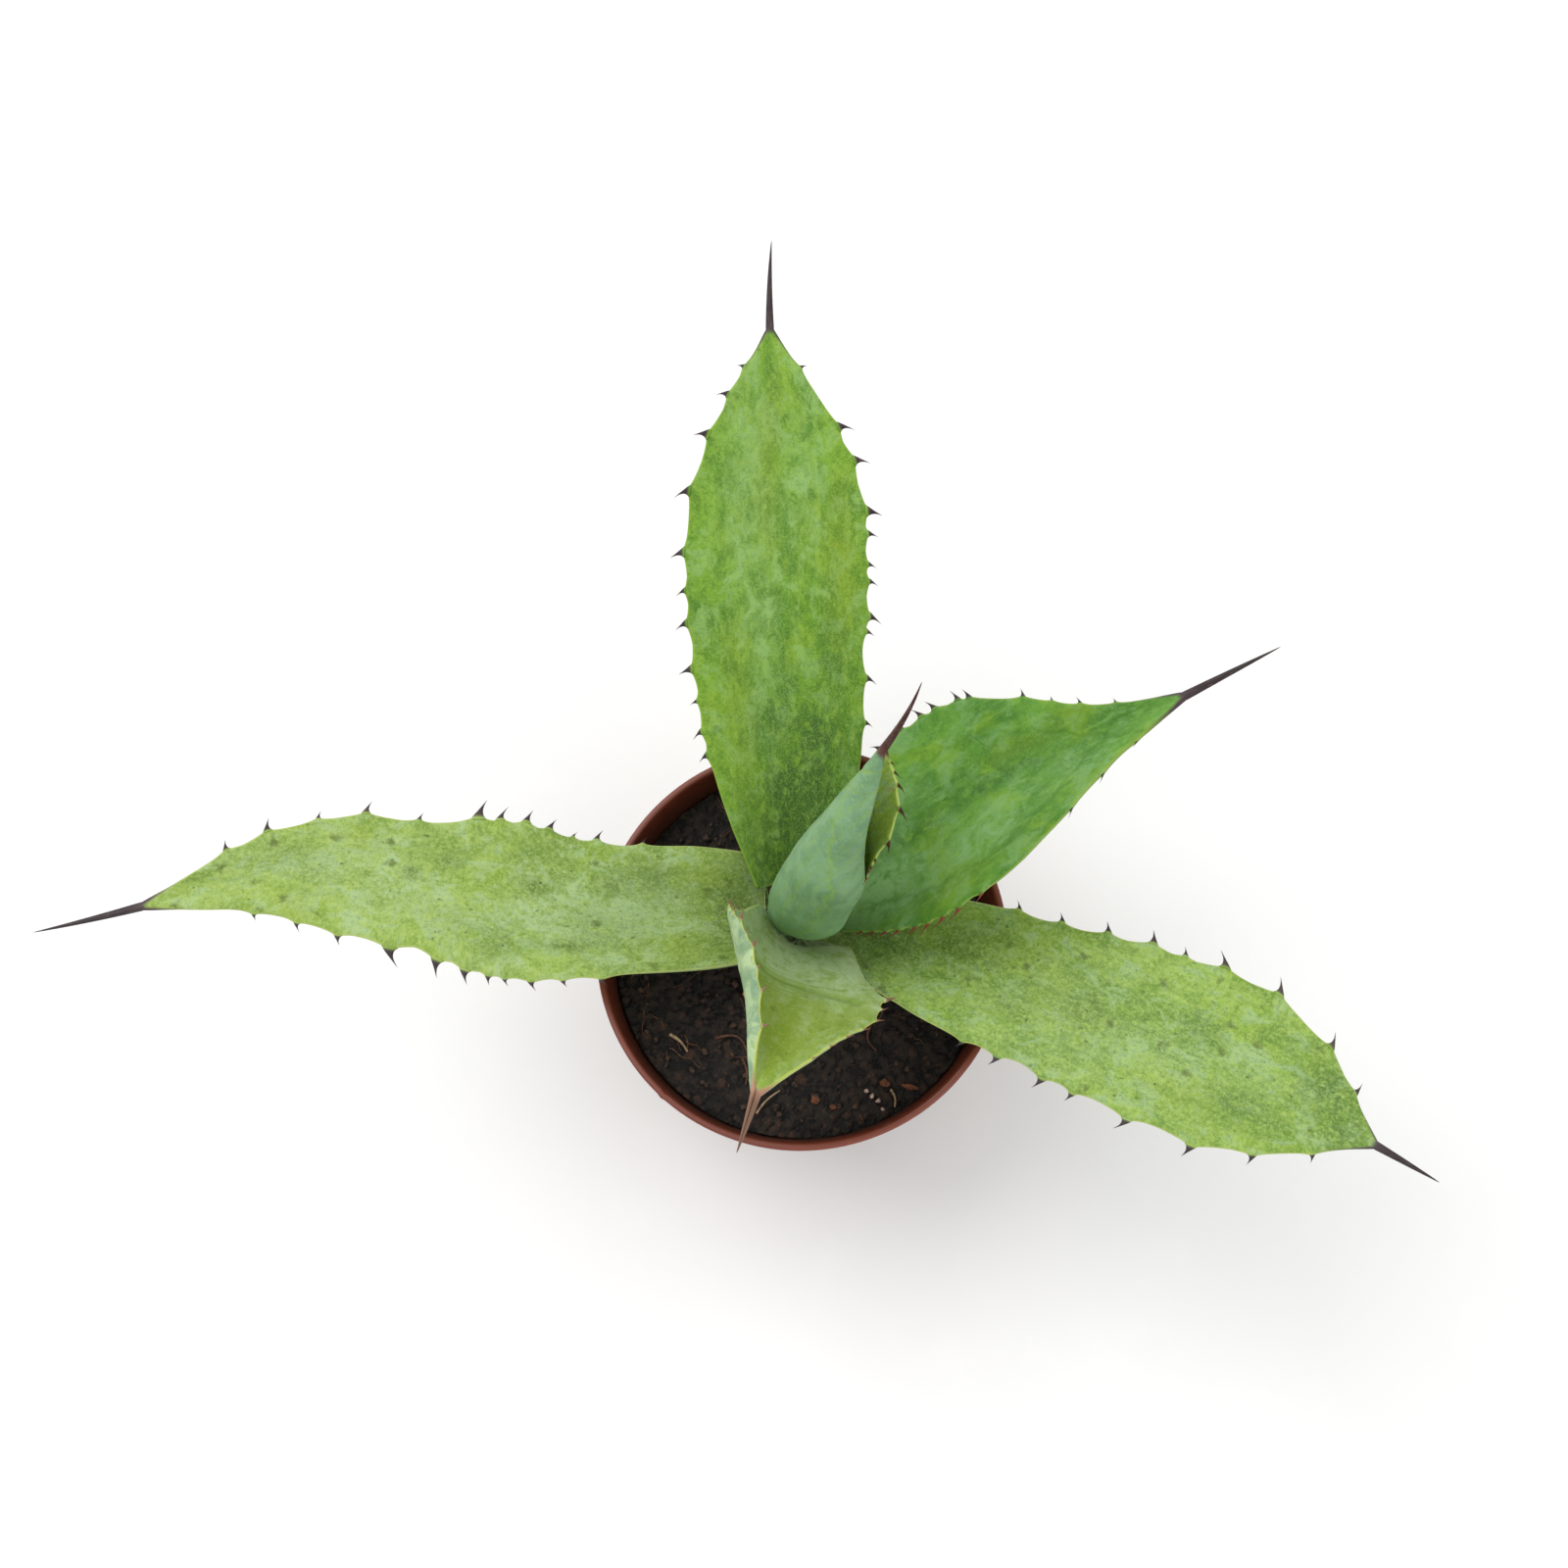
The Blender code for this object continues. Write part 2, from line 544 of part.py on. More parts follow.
def make_leaves(into):
    look = material("inner_spear_green", LEAF_GREENS["inner_spear"], 0.45)
    make_inner_spear(into, look)
    leaf_body("spear_leaf", SPEAR_LEAF, into)
    leaf_body("leaf_upper_right", LEAF_UPPER_RIGHT, into)
    leaf_body("leaf_front", LEAF_FRONT, into)
    leaf_body("leaf_top", LEAF_TOP, into)
    leaf_body("leaf_low_right", LEAF_LOW_RIGHT, into)
    leaf_body("leaf_left", LEAF_LEFT, into)


def main():
    clear_scene()
    agave = collection("potted_agave")
    cutters = collection("cutters", hidden=True)
    make_pot(agave, cutters)
    make_stem(agave)
    make_leaves(agave)
    stem_room = turned("stem_room", stem_profile(GAP), 24, cutters, centre=(0, PLANT_SHIFT))
    make_soil(agave, as_cutter(stem_room))
    make_dried_bases(agave)
    make_litter(agave)


main()
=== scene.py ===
"""Looks of a young agave in a round brown nursery pot, on a pale floor."""

import functools
import json
import math

import bpy
import numpy as np
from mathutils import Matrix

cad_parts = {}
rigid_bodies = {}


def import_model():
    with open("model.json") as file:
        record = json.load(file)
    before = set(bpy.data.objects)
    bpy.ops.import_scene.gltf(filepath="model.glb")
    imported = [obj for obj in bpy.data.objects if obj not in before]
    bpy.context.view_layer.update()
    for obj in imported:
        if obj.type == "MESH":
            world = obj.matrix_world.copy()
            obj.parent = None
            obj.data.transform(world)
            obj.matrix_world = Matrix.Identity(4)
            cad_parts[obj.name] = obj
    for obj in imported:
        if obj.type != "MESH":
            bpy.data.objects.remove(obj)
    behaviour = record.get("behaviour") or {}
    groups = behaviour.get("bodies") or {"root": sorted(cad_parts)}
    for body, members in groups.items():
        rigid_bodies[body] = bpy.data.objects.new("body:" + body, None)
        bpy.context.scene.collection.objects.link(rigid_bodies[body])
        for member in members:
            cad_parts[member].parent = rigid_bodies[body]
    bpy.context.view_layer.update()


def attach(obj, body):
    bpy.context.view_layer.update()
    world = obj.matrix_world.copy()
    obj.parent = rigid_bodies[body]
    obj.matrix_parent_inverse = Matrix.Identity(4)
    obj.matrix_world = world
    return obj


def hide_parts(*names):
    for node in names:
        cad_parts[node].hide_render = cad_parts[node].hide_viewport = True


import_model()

MM = 0.001
POT_HEIGHT = 115 * MM
RIM_DIAMETER = 140 * MM
BASE_DIAMETER = 100 * MM
POT_WALL = 1.6 * MM
POT_FLOOR = 2.4 * MM
DRAIN_HOLES = 6
DRAIN_RADIUS = 4.5 * MM
DRAIN_CIRCLE = 33 * MM  # radius of the circle of drainage holes
LIP_WIDTH = 2.6 * MM
LIP_HEIGHT = 11 * MM
SOIL_TOP = POT_HEIGHT - 15 * MM
SOIL_MOUND = 0.8 * MM
STEM_DIAMETER = 21 * MM
STEM_TOP_DIAMETER = 16 * MM
STEM_RISE = 17 * MM
STEM_ROOT = 32 * MM
PLANT_SHIFT = 12 * MM
OPEN_RADIUS = RIM_DIAMETER / 2 - LIP_WIDTH - POT_WALL - 1.5 * MM

ACROSS = 81  # samples across each face of a leaf
ALONG = 330  # stations along a leaf's blade
ON_SPINE = 44  # stations along its spine
HORN_REACH = 15.0  # mm of margin before the spine that has turned to horn
PALE_BASE = 14  # mm in which the pale base of a leaf fades
SKY_STRENGTH = 0.74
LAMPS = (("key", (-0.7, 0.5, 1.5), 1.2, 15.0), ("fill", (0.9, -0.5, 1.2), 1.4, 5.0))  # place, size in m, watts
CAMERA_PLACE = (-0.0061, -0.1135, 0.7056)
CAMERA_TILT = 16  # degrees from straight down
CAMERA_LENS = 40.43

# Leaves. start: azimuth (degrees), radius and height as shares of the stem's radius and rise. blade, spine,
# half and thick in mm, angles in degrees. teeth: (share of the blade, length in mm) on the left and right
# hands. swell: how far each margin stands out beyond half, in mm, from the base to the tip. USUAL holds what
# a leaf leaves out.
USUAL = {
    "roll": (0,), "thick": (6.5, 6, 5, 4, 3.5, 3, 2.6, 2.5), "power": (1.5, 1.5), "swell": ((0,), (0,)),
    "wide": ((1,), (1,)), "fold": ((25, 12, 5, 4, 6, 10),) * 2, "curl": ((25, 12, 4, 3, 4, 6),) * 2,
}
LEAVES = {
    "leaf_left": {
        "start": (183, 1.333, 0.265), "blade": 207, "spine": 34, "head": (188, 184, 172, 179, 197, 193),
        "rise": (34, 26, 18, 10, 4, 2), "roll": (9, 9, 4, -1, -9, -20),
        "half": (21.5, 24, 23.5, 25, 19.5, 17.5, 10, 1.3),
        "fold": ((25, 12, 5, 4, 8, 12), (25, 12, 5, 4, 8, 14)),
        "curl": ((25, 12, 4, 3, 6, 10), (25, 12, 4, 3, 6, 30)),
        "teeth": (((0.3, 2.2), (0.352, 2), (0.394, 2.4), (0.432, 1.8), (0.457, 2.2), (0.493, 3.4),
          (0.538, 3.9), (0.614, 4.2), (0.7, 2.4), (0.77, 2), (0.84, 1.6)), ((0.22, 1.6), (0.303, 2.6),
          (0.35, 1.4), (0.396, 2.8), (0.438, 3), (0.479, 3), (0.515, 4.4), (0.6, 1.8), (0.674, 2.8),
          (0.74, 1.8), (0.806, 2.8), (0.863, 2.2))),
        "swell": ((0, 0, 1.2, 2.2, 0.4, 0), (0, 0, 0.4, 1.2, 0.8, 0)),
    },
    "leaf_low_right": {
        "start": (345, 1.295, 0.265), "blade": 191, "spine": 21, "head": (332, 334, 336, 335, 329, 328),
        "rise": (34, 28, 20, 12, 6, 2), "half": (17, 20, 23, 23.5, 26, 26.5, 19.5, 1.3),
        "teeth": (((0.33, 2), (0.41, 2.2), (0.49, 2.6), (0.564, 3), (0.62, 2), (0.685, 3.4), (0.772, 3.4),
          (0.873, 3), (0.935, 2.4)), ((0.33, 2), (0.395, 2.8), (0.476, 3), (0.532, 2.4), (0.629, 3.2),
          (0.743, 3.2), (0.84, 2.6), (0.92, 2))),
        "swell": ((0, 0, 0.6, 0.8, 0.6, 0), (0, 0, 0.6, 0.8, 0.6, 0)),
    },
    "leaf_top": {
        "start": (100, 1.257, 0.541), "blade": 184, "spine": 28, "head": (94, 94, 93, 92, 93, 86),
        "rise": (40, 36, 32, 28, 24, 20), "half": (16.5, 22.5, 25.5, 26.5, 28, 26.5, 17, 1.3),
        "teeth": (((0.26, 2.4), (0.303, 2.4), (0.36, 1.8), (0.415, 3.2), (0.498, 2.8), (0.555, 2.2),
          (0.624, 3.2), (0.731, 3.4), (0.827, 3.4), (0.893, 2.6), (0.938, 1.8)), ((0.3, 2), (0.383, 2.6),
          (0.468, 2), (0.495, 3), (0.558, 2.2), (0.59, 2), (0.644, 2.4), (0.685, 3.6), (0.773, 3.4),
          (0.831, 3.4), (0.932, 1.6))), "swell": ((0.5, 2, 3, 2.4, 0.8, 0), (0, 0.4, 0.6, 1, 0.6, 0)),
    },
    "leaf_front": {
        "start": (258, 1.505, 1.059), "blade": 107, "spine": 24, "head": (262, 261, 260, 259, 256, 253),
        "rise": (65, 62, 58, 52, 45, 38), "roll": (-14, -13, -10, -7, -5, -4),
        "half": (20, 25, 31.5, 30, 23, 14, 1.3), "thick": (4, 4.5, 4.2, 3.6, 3, 2.8, 2.5),
        "fold": ((25, 15, 8, 4, 4, 6), (24, 12, 17, 26, 30, 16)),
        "curl": ((5, -5, 5, 17, 38, 45), (28, 42, 59, 78, 100, 115)),
        "teeth": (((0.24, 1.4), (0.307, 3.4), (0.4, 1.6), (0.5, 1.8), (0.6, 1.5), (0.69, 1.6), (0.77, 1.4),
          (0.84, 1.4)), ((0.17, 1), (0.2, 1.6), (0.225, 1.2), (0.25, 1.8), (0.275, 1.3), (0.302, 1.8),
          (0.34, 1.2), (0.4, 1.6), (0.481, 2.6), (0.54, 1.4), (0.599, 2.4), (0.67, 1.6), (0.743, 2.2),
          (0.842, 2))),
    },
    "leaf_upper_right": {
        "start": (10, 1.381, 0.971), "blade": 148, "spine": 31, "head": (25, 25, 21, 18, 20, 20),
        "rise": (56, 52, 46, 40, 36, 33), "roll": (3, -2, -9, -10, -8, -6),
        "half": (14, 24.5, 30.5, 31.5, 23.5, 10, 1.3), "thick": (4, 4.6, 4.2, 3.6, 3, 2.8, 2.5),
        "fold": ((30, 20, 14, 12, 14, 16), (30, 20, 14, 12, 14, 16)),
        "curl": ((45, 30, 20, 16, 14, 12), (45, 30, 20, 16, 14, 12)),
        "teeth": (((0.36, 2), (0.42, 1.8), (0.469, 2.6), (0.503, 2.6), (0.557, 2.4), (0.582, 2.4),
          (0.689, 1.8), (0.745, 1), (0.8, 1.5), (0.87, 1)), ((0.09, 2), (0.13, 2), (0.17, 2.2), (0.21, 2.3),
          (0.26, 2.5), (0.3, 2.6), (0.35, 2.8), (0.4, 2.8), (0.47, 2), (0.72, 1.6), (0.8, 1.6), (0.88, 1.2))),
        "swell": ((0, 0.4, 1.6, 0.8, 0, 0), (0,)),
    },
    "spear_leaf": {
        "start": (165, 0.857, 1.118), "blade": 115, "spine": 29, "head": (48, 38, 30, 27, 36, 66),
        "rise": (82, 75, 69, 68, 66, 46), "roll": (95,), "half": (19, 27, 34, 34, 24, 14, 1.3),
        "thick": (3, 3, 2.6, 2.4, 2.2, 2.4, 2.5), "fold": ((0,), (0,)),
        "wide": ((1, 1.2, 1.18, 1.1, 1), (0.9, 0.88, 0.85, 1, 1)),
        "curl": ((140, 158, 183, 187, 160, 180), (150, 150, 145, 140, 90, 70)), "power": (1, 0.7),
        "teeth": ((), ((0.52, 1.4), (0.57, 1.8), (0.6, 1.2), (0.617, 1.8), (0.64, 1.4), (0.706, 2.8),
          (0.806, 2.8), (0.881, 2.4), (0.922, 1.8), (0.955, 1.4))),
    },
}
LEAVES = {name: {**USUAL, **leaf} for name, leaf in LEAVES.items()}

# Colours of each leaf: red, green, blue from 0 to 255.
LOOKS = {
    "leaf_left": {
        "mid": (144, 169, 76), "deep": (106, 136, 54), "pale": (168, 190, 108), "bloom": (154, 180, 130),
        "under": (140, 166, 122), "edge": (176, 190, 108), "horn": (54, 45, 48), "speck": 0.95,
        "fleck": (84, 100, 40),
    },
    "leaf_low_right": {
        "mid": (134, 164, 68), "deep": (96, 130, 48), "pale": (164, 190, 100), "bloom": (146, 174, 122),
        "under": (136, 162, 120), "edge": (176, 190, 108), "horn": (54, 45, 48), "speck": 0.95,
        "fleck": (84, 100, 44),
    },
    "leaf_top": {
        "mid": (108, 151, 38), "deep": (70, 116, 30), "pale": (144, 176, 74), "bloom": (130, 168, 96),
        "under": (100, 142, 84), "edge": (140, 172, 60), "horn": (48, 38, 42), "mottle": 0.8, "speck": 0.35,
        "fleck": (60, 92, 36),
    },
    "leaf_front": {
        "mid": (148, 170, 80), "deep": (122, 150, 56), "pale": (170, 188, 108), "bloom": (176, 198, 152),
        "under": (120, 150, 124), "edge": (186, 194, 92), "horn": (128, 96, 78), "mottle": 0.7,
        "back_streak": 0.2, "speck": 0.5, "fleck": (96, 110, 44),
    },
    "leaf_upper_right": {
        "mid": (93, 142, 50), "deep": (66, 116, 38), "pale": (122, 166, 68), "bloom": (122, 162, 104),
        "under": (92, 136, 84), "edge": (140, 164, 70), "horn": (50, 40, 42), "mottle": 0.45, "speck": 0.2,
        "fleck": (60, 92, 36),
    },
    "spear_leaf": {
        # Painted light: the spear leaf's inner-face greens are lightened to stand in for light through the thin
        # rolled flap, which lies in the shade of the roll.
        "mid": (160, 188, 84), "deep": (134, 168, 64), "pale": (176, 200, 104), "bloom": (126, 164, 126),
        "under": (100, 140, 110), "edge": (190, 204, 104), "horn": (66, 32, 30), "speck": 0.5,
        "fleck": (140, 92, 50),
    },
}

SUNNY_GREEN, WARM_GREEN, MURKY_GREEN = (132, 164, 34), (128, 150, 30), (44, 74, 40)
SPECK, RUST, WORN_HORN, RUDDY_HORN = (38, 42, 24), (146, 92, 40), (122, 106, 94), (122, 52, 34)

# The litter, at (azimuth in degrees, share of the open radius). Dried bases: azimuth, length, width. Bark chips:
# size, turn. Grains: size. Straws and root fibres: length, heading, radius. Sizes in mm.
DRIED_BASES = ((236, 24, 7), (302, 14, 8), (140, 20, 5))
BARK_CHIPS = ((-58.7, 0.84, (4.0, 3.6, 2.2), -8), (-52.5, 0.93, (6.8, 2.2, 1.6), -15),
              (-85.3, 0.812, (3.4, 3.0, 1.8), 0), (-79, 0.86, (2.4, 2.2, 1.4), -5))
GRAINS = ((-65.7, 0.83, 1.6), (-64.8, 0.868, 1.8), (-63.6, 0.905, 1.9), (-63.5, 0.955, 1.5))
STRAWS = ((-142.3, 0.889, 8.5, -44, 0.6), (-102.3, 0.896, 11, 44, 0.4), (-59, 0.99, 6, -78, 0.45))
ROOT_FIBRES = ((-125, 0.647, 13, -30, 0.45), (-115.1, 0.726, 9, -83, 0.4), (-51.5, 0.613, 9, -77, 0.4))


# ---- numbers ----------------------------------------------------------------------------------------

def smooth_values(values, at):
    """A smooth curve without overshoot through evenly spaced values, read at shares 0 to 1."""
    v = np.asarray(values, float)
    if len(v) == 1:
        return np.full(np.shape(at), v[0])
    x = np.clip(at, 0, 1) * (len(v) - 1)
    i = np.minimum(x.astype(int), len(v) - 2)
    t = x - i
    steps = np.diff(v)
    before = np.r_[steps[0], steps]
    after = np.r_[steps, steps[-1]]
    limit = 3 * np.minimum(abs(before), abs(after))
    slope = np.where(before * after <= 0, 0, np.clip(np.gradient(v), -limit, limit))
    rise = (3 - 2 * t) * t * t
    return (
        (1 - rise) * v[i]
        + rise * v[i + 1]
        + (t - 2 * t**2 + t**3) * slope[i]
        + (t**3 - t**2) * slope[i + 1]
    )


def lattice_noise(x, y, seed):
    """Smooth noise from -1 to 1 with one cell per unit."""
    table = np.random.default_rng(seed).uniform(-1, 1, (64, 64))
    xi, yi = np.floor(x).astype(int), np.floor(y).astype(int)
    u, v = x - xi, y - yi
    u, v = u * u * (3 - 2 * u), v * v * (3 - 2 * v)
    corner = [table[(xi + i) % 64, (yi + j) % 64] for i in (0, 1) for j in (0, 1)]
    return (corner[0] * (1 - u) + corner[2] * u) * (1 - v) + (corner[1] * (1 - u) + corner[3] * u) * v


def unit(v):
    return v / np.maximum(np.linalg.norm(v, axis=-1, keepdims=True), 1e-12)


# ---- meshes -----------------------------------------------------------------------------------------

def mesh_object(name, points, faces, values=None):
    """A mesh object of triangles, with named values at its points."""
    mesh = bpy.data.meshes.new(name)
    points = np.ascontiguousarray(points, np.float32)
    faces = np.ascontiguousarray(faces, np.int32)
    mesh.vertices.add(len(points))
    mesh.vertices.foreach_set("co", points.ravel())
    mesh.loops.add(faces.size)
    mesh.loops.foreach_set("vertex_index", faces.ravel())
    mesh.polygons.add(len(faces))
    mesh.polygons.foreach_set("loop_start", np.arange(len(faces), dtype=np.int32) * 3)
    mesh.polygons.foreach_set("use_smooth", np.full(len(faces), True))
    mesh.update(calc_edges=True)
    for key, value in (values or {}).items():
        value = np.ascontiguousarray(value, np.float32)
        kind = ("FLOAT_VECTOR", "vector") if value.ndim == 2 else ("FLOAT", "value")
        mesh.attributes.new(key, kind[0], "POINT").data.foreach_set(kind[1], value.ravel())
    made = bpy.data.objects.new(name, mesh)
    bpy.context.scene.collection.objects.link(made)
    return made


def ring_faces(rows, count):
    """Triangles between rings of equal count, with two extra points for the ends."""
    row, k = np.meshgrid(np.arange(rows - 1), np.arange(count), indexing="ij")
    a = (row * count + k).ravel()
    b = (row * count + (k + 1) % count).ravel()
    k = np.arange(count)
    after, last = (k + 1) % count, (rows - 1) * count
    return np.concatenate([
        np.c_[a, b, b + count], np.c_[a, b + count, a + count],
        np.c_[np.full(count, rows * count), after, k],
        np.c_[np.full(count, rows * count + 1), last + k, last + after],
    ])


def grid_faces(count):
    """The numbering of a square grid of points, and its triangles."""
    index = np.arange(count * count).reshape(count, count)
    p, q, s, t = (index[a, b].ravel() for a, b in (
        (slice(-1), slice(-1)), (slice(1, None), slice(-1)), (slice(1, None), slice(1, None)),
        (slice(-1), slice(1, None))))
    return index, np.concatenate([np.c_[p, q, s], np.c_[p, s, t]])


def outward(points, faces):
    """The triangles turned so that they face out of the body."""
    a, b, c = (points[faces[:, k]] for k in range(3))
    return faces if np.einsum("ij,ij->i", a, np.cross(b, c)).sum() > 0 else faces[:, ::-1]


def around(count):
    """Angles once around a circle."""
    return np.linspace(0, 2 * math.pi, count + 1)[:-1]


def spokes(turn):
    return np.stack([np.cos(turn), np.sin(turn), 0 * turn], -1)


def shell(rings, start=None, end=None):
    """Points and triangles of a closed body through rings (rows, count, 3)."""
    start = rings[0].mean(0) if start is None else start
    end = rings[-1].mean(0) if end is None else end
    points = np.r_[rings.reshape(-1, 3), [start], [end]]
    return points, outward(points, ring_faces(*rings.shape[:2]))


class Bundle:
    """Several closed shells that make one piece."""

    def __init__(self):
        self.points, self.faces, self.values, self.count = [], [], {}, 0

    def add(self, points, faces, **values):
        self.points.append(points)
        self.faces.append(faces + self.count)
        self.count += len(points)
        for key, value in values.items():
            value = np.asarray(value, float)
            if value.ndim == 0:
                value = np.full(len(points), float(value))
            self.values.setdefault(key, []).append(value)

    def object(self, name):
        values = {key: np.concatenate(value) for key, value in self.values.items()}
        return mesh_object(name, np.concatenate(self.points), np.concatenate(self.faces), values)


def tube(path, radii, sides=8, seed=0, rough=0.0):
    """A closed tube along a path of points, tapering with radii."""
    path = np.asarray(path, float)
    along = unit(np.gradient(path, axis=0))
    side = unit(np.cross(along, np.array([0.13, 0.21, 0.97])))
    up = np.cross(side, along)
    turn = around(sides)
    wobble = 1 + rough * lattice_noise(np.arange(len(path))[:, None] * 0.45, turn[None, :] * 1.3, seed)
    radii = np.asarray(radii)[:, None] * wobble
    rings = path[:, None] + radii[..., None] * (
        np.cos(turn)[None, :, None] * side[:, None] + np.sin(turn)[None, :, None] * up[:, None]
    )
    return shell(rings, path[0] - along[0] * radii[0, 0] * 0.4, path[-1] + along[-1] * radii[-1, 0] * 0.6)


def settle(piece, node, material):
    """Gives a piece its material and slot, and the place of its node if it has one."""
    piece.data.materials.append(material)
    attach(piece, "root")
    if node:
        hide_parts(node)


# ---- materials --------------------------------------------------------------------------------------

def srgb(colour):
    linear = [c / 255 / 12.92 if c <= 10 else ((c / 255 + 0.055) / 1.055) ** 2.4 for c in colour]
    return (*linear, 1.0)


class Weave:
    """Wires the nodes of one material."""

    def __init__(self, name):
        self.material = bpy.data.materials.new(name)
        self.material.use_nodes = True
        self.tree = self.material.node_tree
        self.shader = self.tree.nodes["Principled BSDF"]

    def put(self, socket, value):
        if isinstance(value, bpy.types.NodeSocket):
            self.tree.links.new(value, socket)
        else:
            socket.default_value = value

    def new(self, kind, settings=None, **inputs):
        node = self.tree.nodes.new(kind)
        for key, value in (settings or {}).items():
            setattr(node, key, value)
        for key, value in inputs.items():
            self.put(node.inputs[key.replace("_", " ")], value)
        return node

    def value(self, name):
        return self.new("ShaderNodeAttribute", {"attribute_name": name}).outputs["Fac"]

    def vector(self, name):
        return self.new("ShaderNodeAttribute", {"attribute_name": name}).outputs["Vector"]

    def stretch(self, vector, scale, shift=(0, 0, 0)):
        return self.new("ShaderNodeMapping", Vector=vector, Scale=scale, Location=shift).outputs["Vector"]

    def noise(self, vector, scale, detail=3.0, rough=0.5, warp=0.0):
        return self.new("ShaderNodeTexNoise", Vector=vector, Scale=scale, Detail=detail, Roughness=rough,
                        Distortion=warp).outputs["Fac"]

    def cells(self, vector, scale, spread=1.0):
        node = self.new("ShaderNodeTexVoronoi", Vector=vector, Scale=scale, Randomness=spread)
        return node.outputs["Distance"], node.outputs["Color"]

    def maths(self, how, a, b=0.0, clamp=False):
        node = self.tree.nodes.new("ShaderNodeMath")
        node.operation, node.use_clamp = how, clamp
        self.put(node.inputs[0], a)
        self.put(node.inputs[1], b)
        return node.outputs[0]

    def times(self, a, b, clamp=False):
        return self.maths("MULTIPLY", a, b, clamp)

    def step(self, value, low, high, to_low=0.0, to_high=1.0):
        node = self.new("ShaderNodeMapRange", {"interpolation_type": "SMOOTHSTEP"})
        for key, item in zip(("Value", "From Min", "From Max", "To Min", "To Max"),
                             (value, low, high, to_low, to_high)):
            self.put(node.inputs[key], item)
        return node.outputs["Result"]

    def mix(self, share, a, b, how="MIX"):
        node = self.tree.nodes.new("ShaderNodeMix")
        node.data_type, node.blend_type = "RGBA", how
        self.put(node.inputs[0], share)
        self.put(node.inputs[6], srgb(a) if isinstance(a, tuple) and len(a) == 3 else a)
        self.put(node.inputs[7], srgb(b) if isinstance(b, tuple) and len(b) == 3 else b)
        return node.outputs[2]

    def tint(self, colour, tone, value, low, high, to_low=0.0, to_high=1.0):
        """Lays a tone over a colour as a value goes from low to high."""
        return self.mix(self.step(value, low, high, to_low, to_high), colour, tone)

    def bump(self, height, strength, distance):
        return self.new("ShaderNodeBump", Height=height, Strength=strength, Distance=distance).outputs["Normal"]

    def finish(self, colour, roughness, normal, **others):
        inputs = {"Base_Color": colour, "Roughness": roughness, "Normal": normal, **others}
        for key, value in inputs.items():
            self.put(self.shader.inputs[key.replace("_", " ")], value)
        return self.material


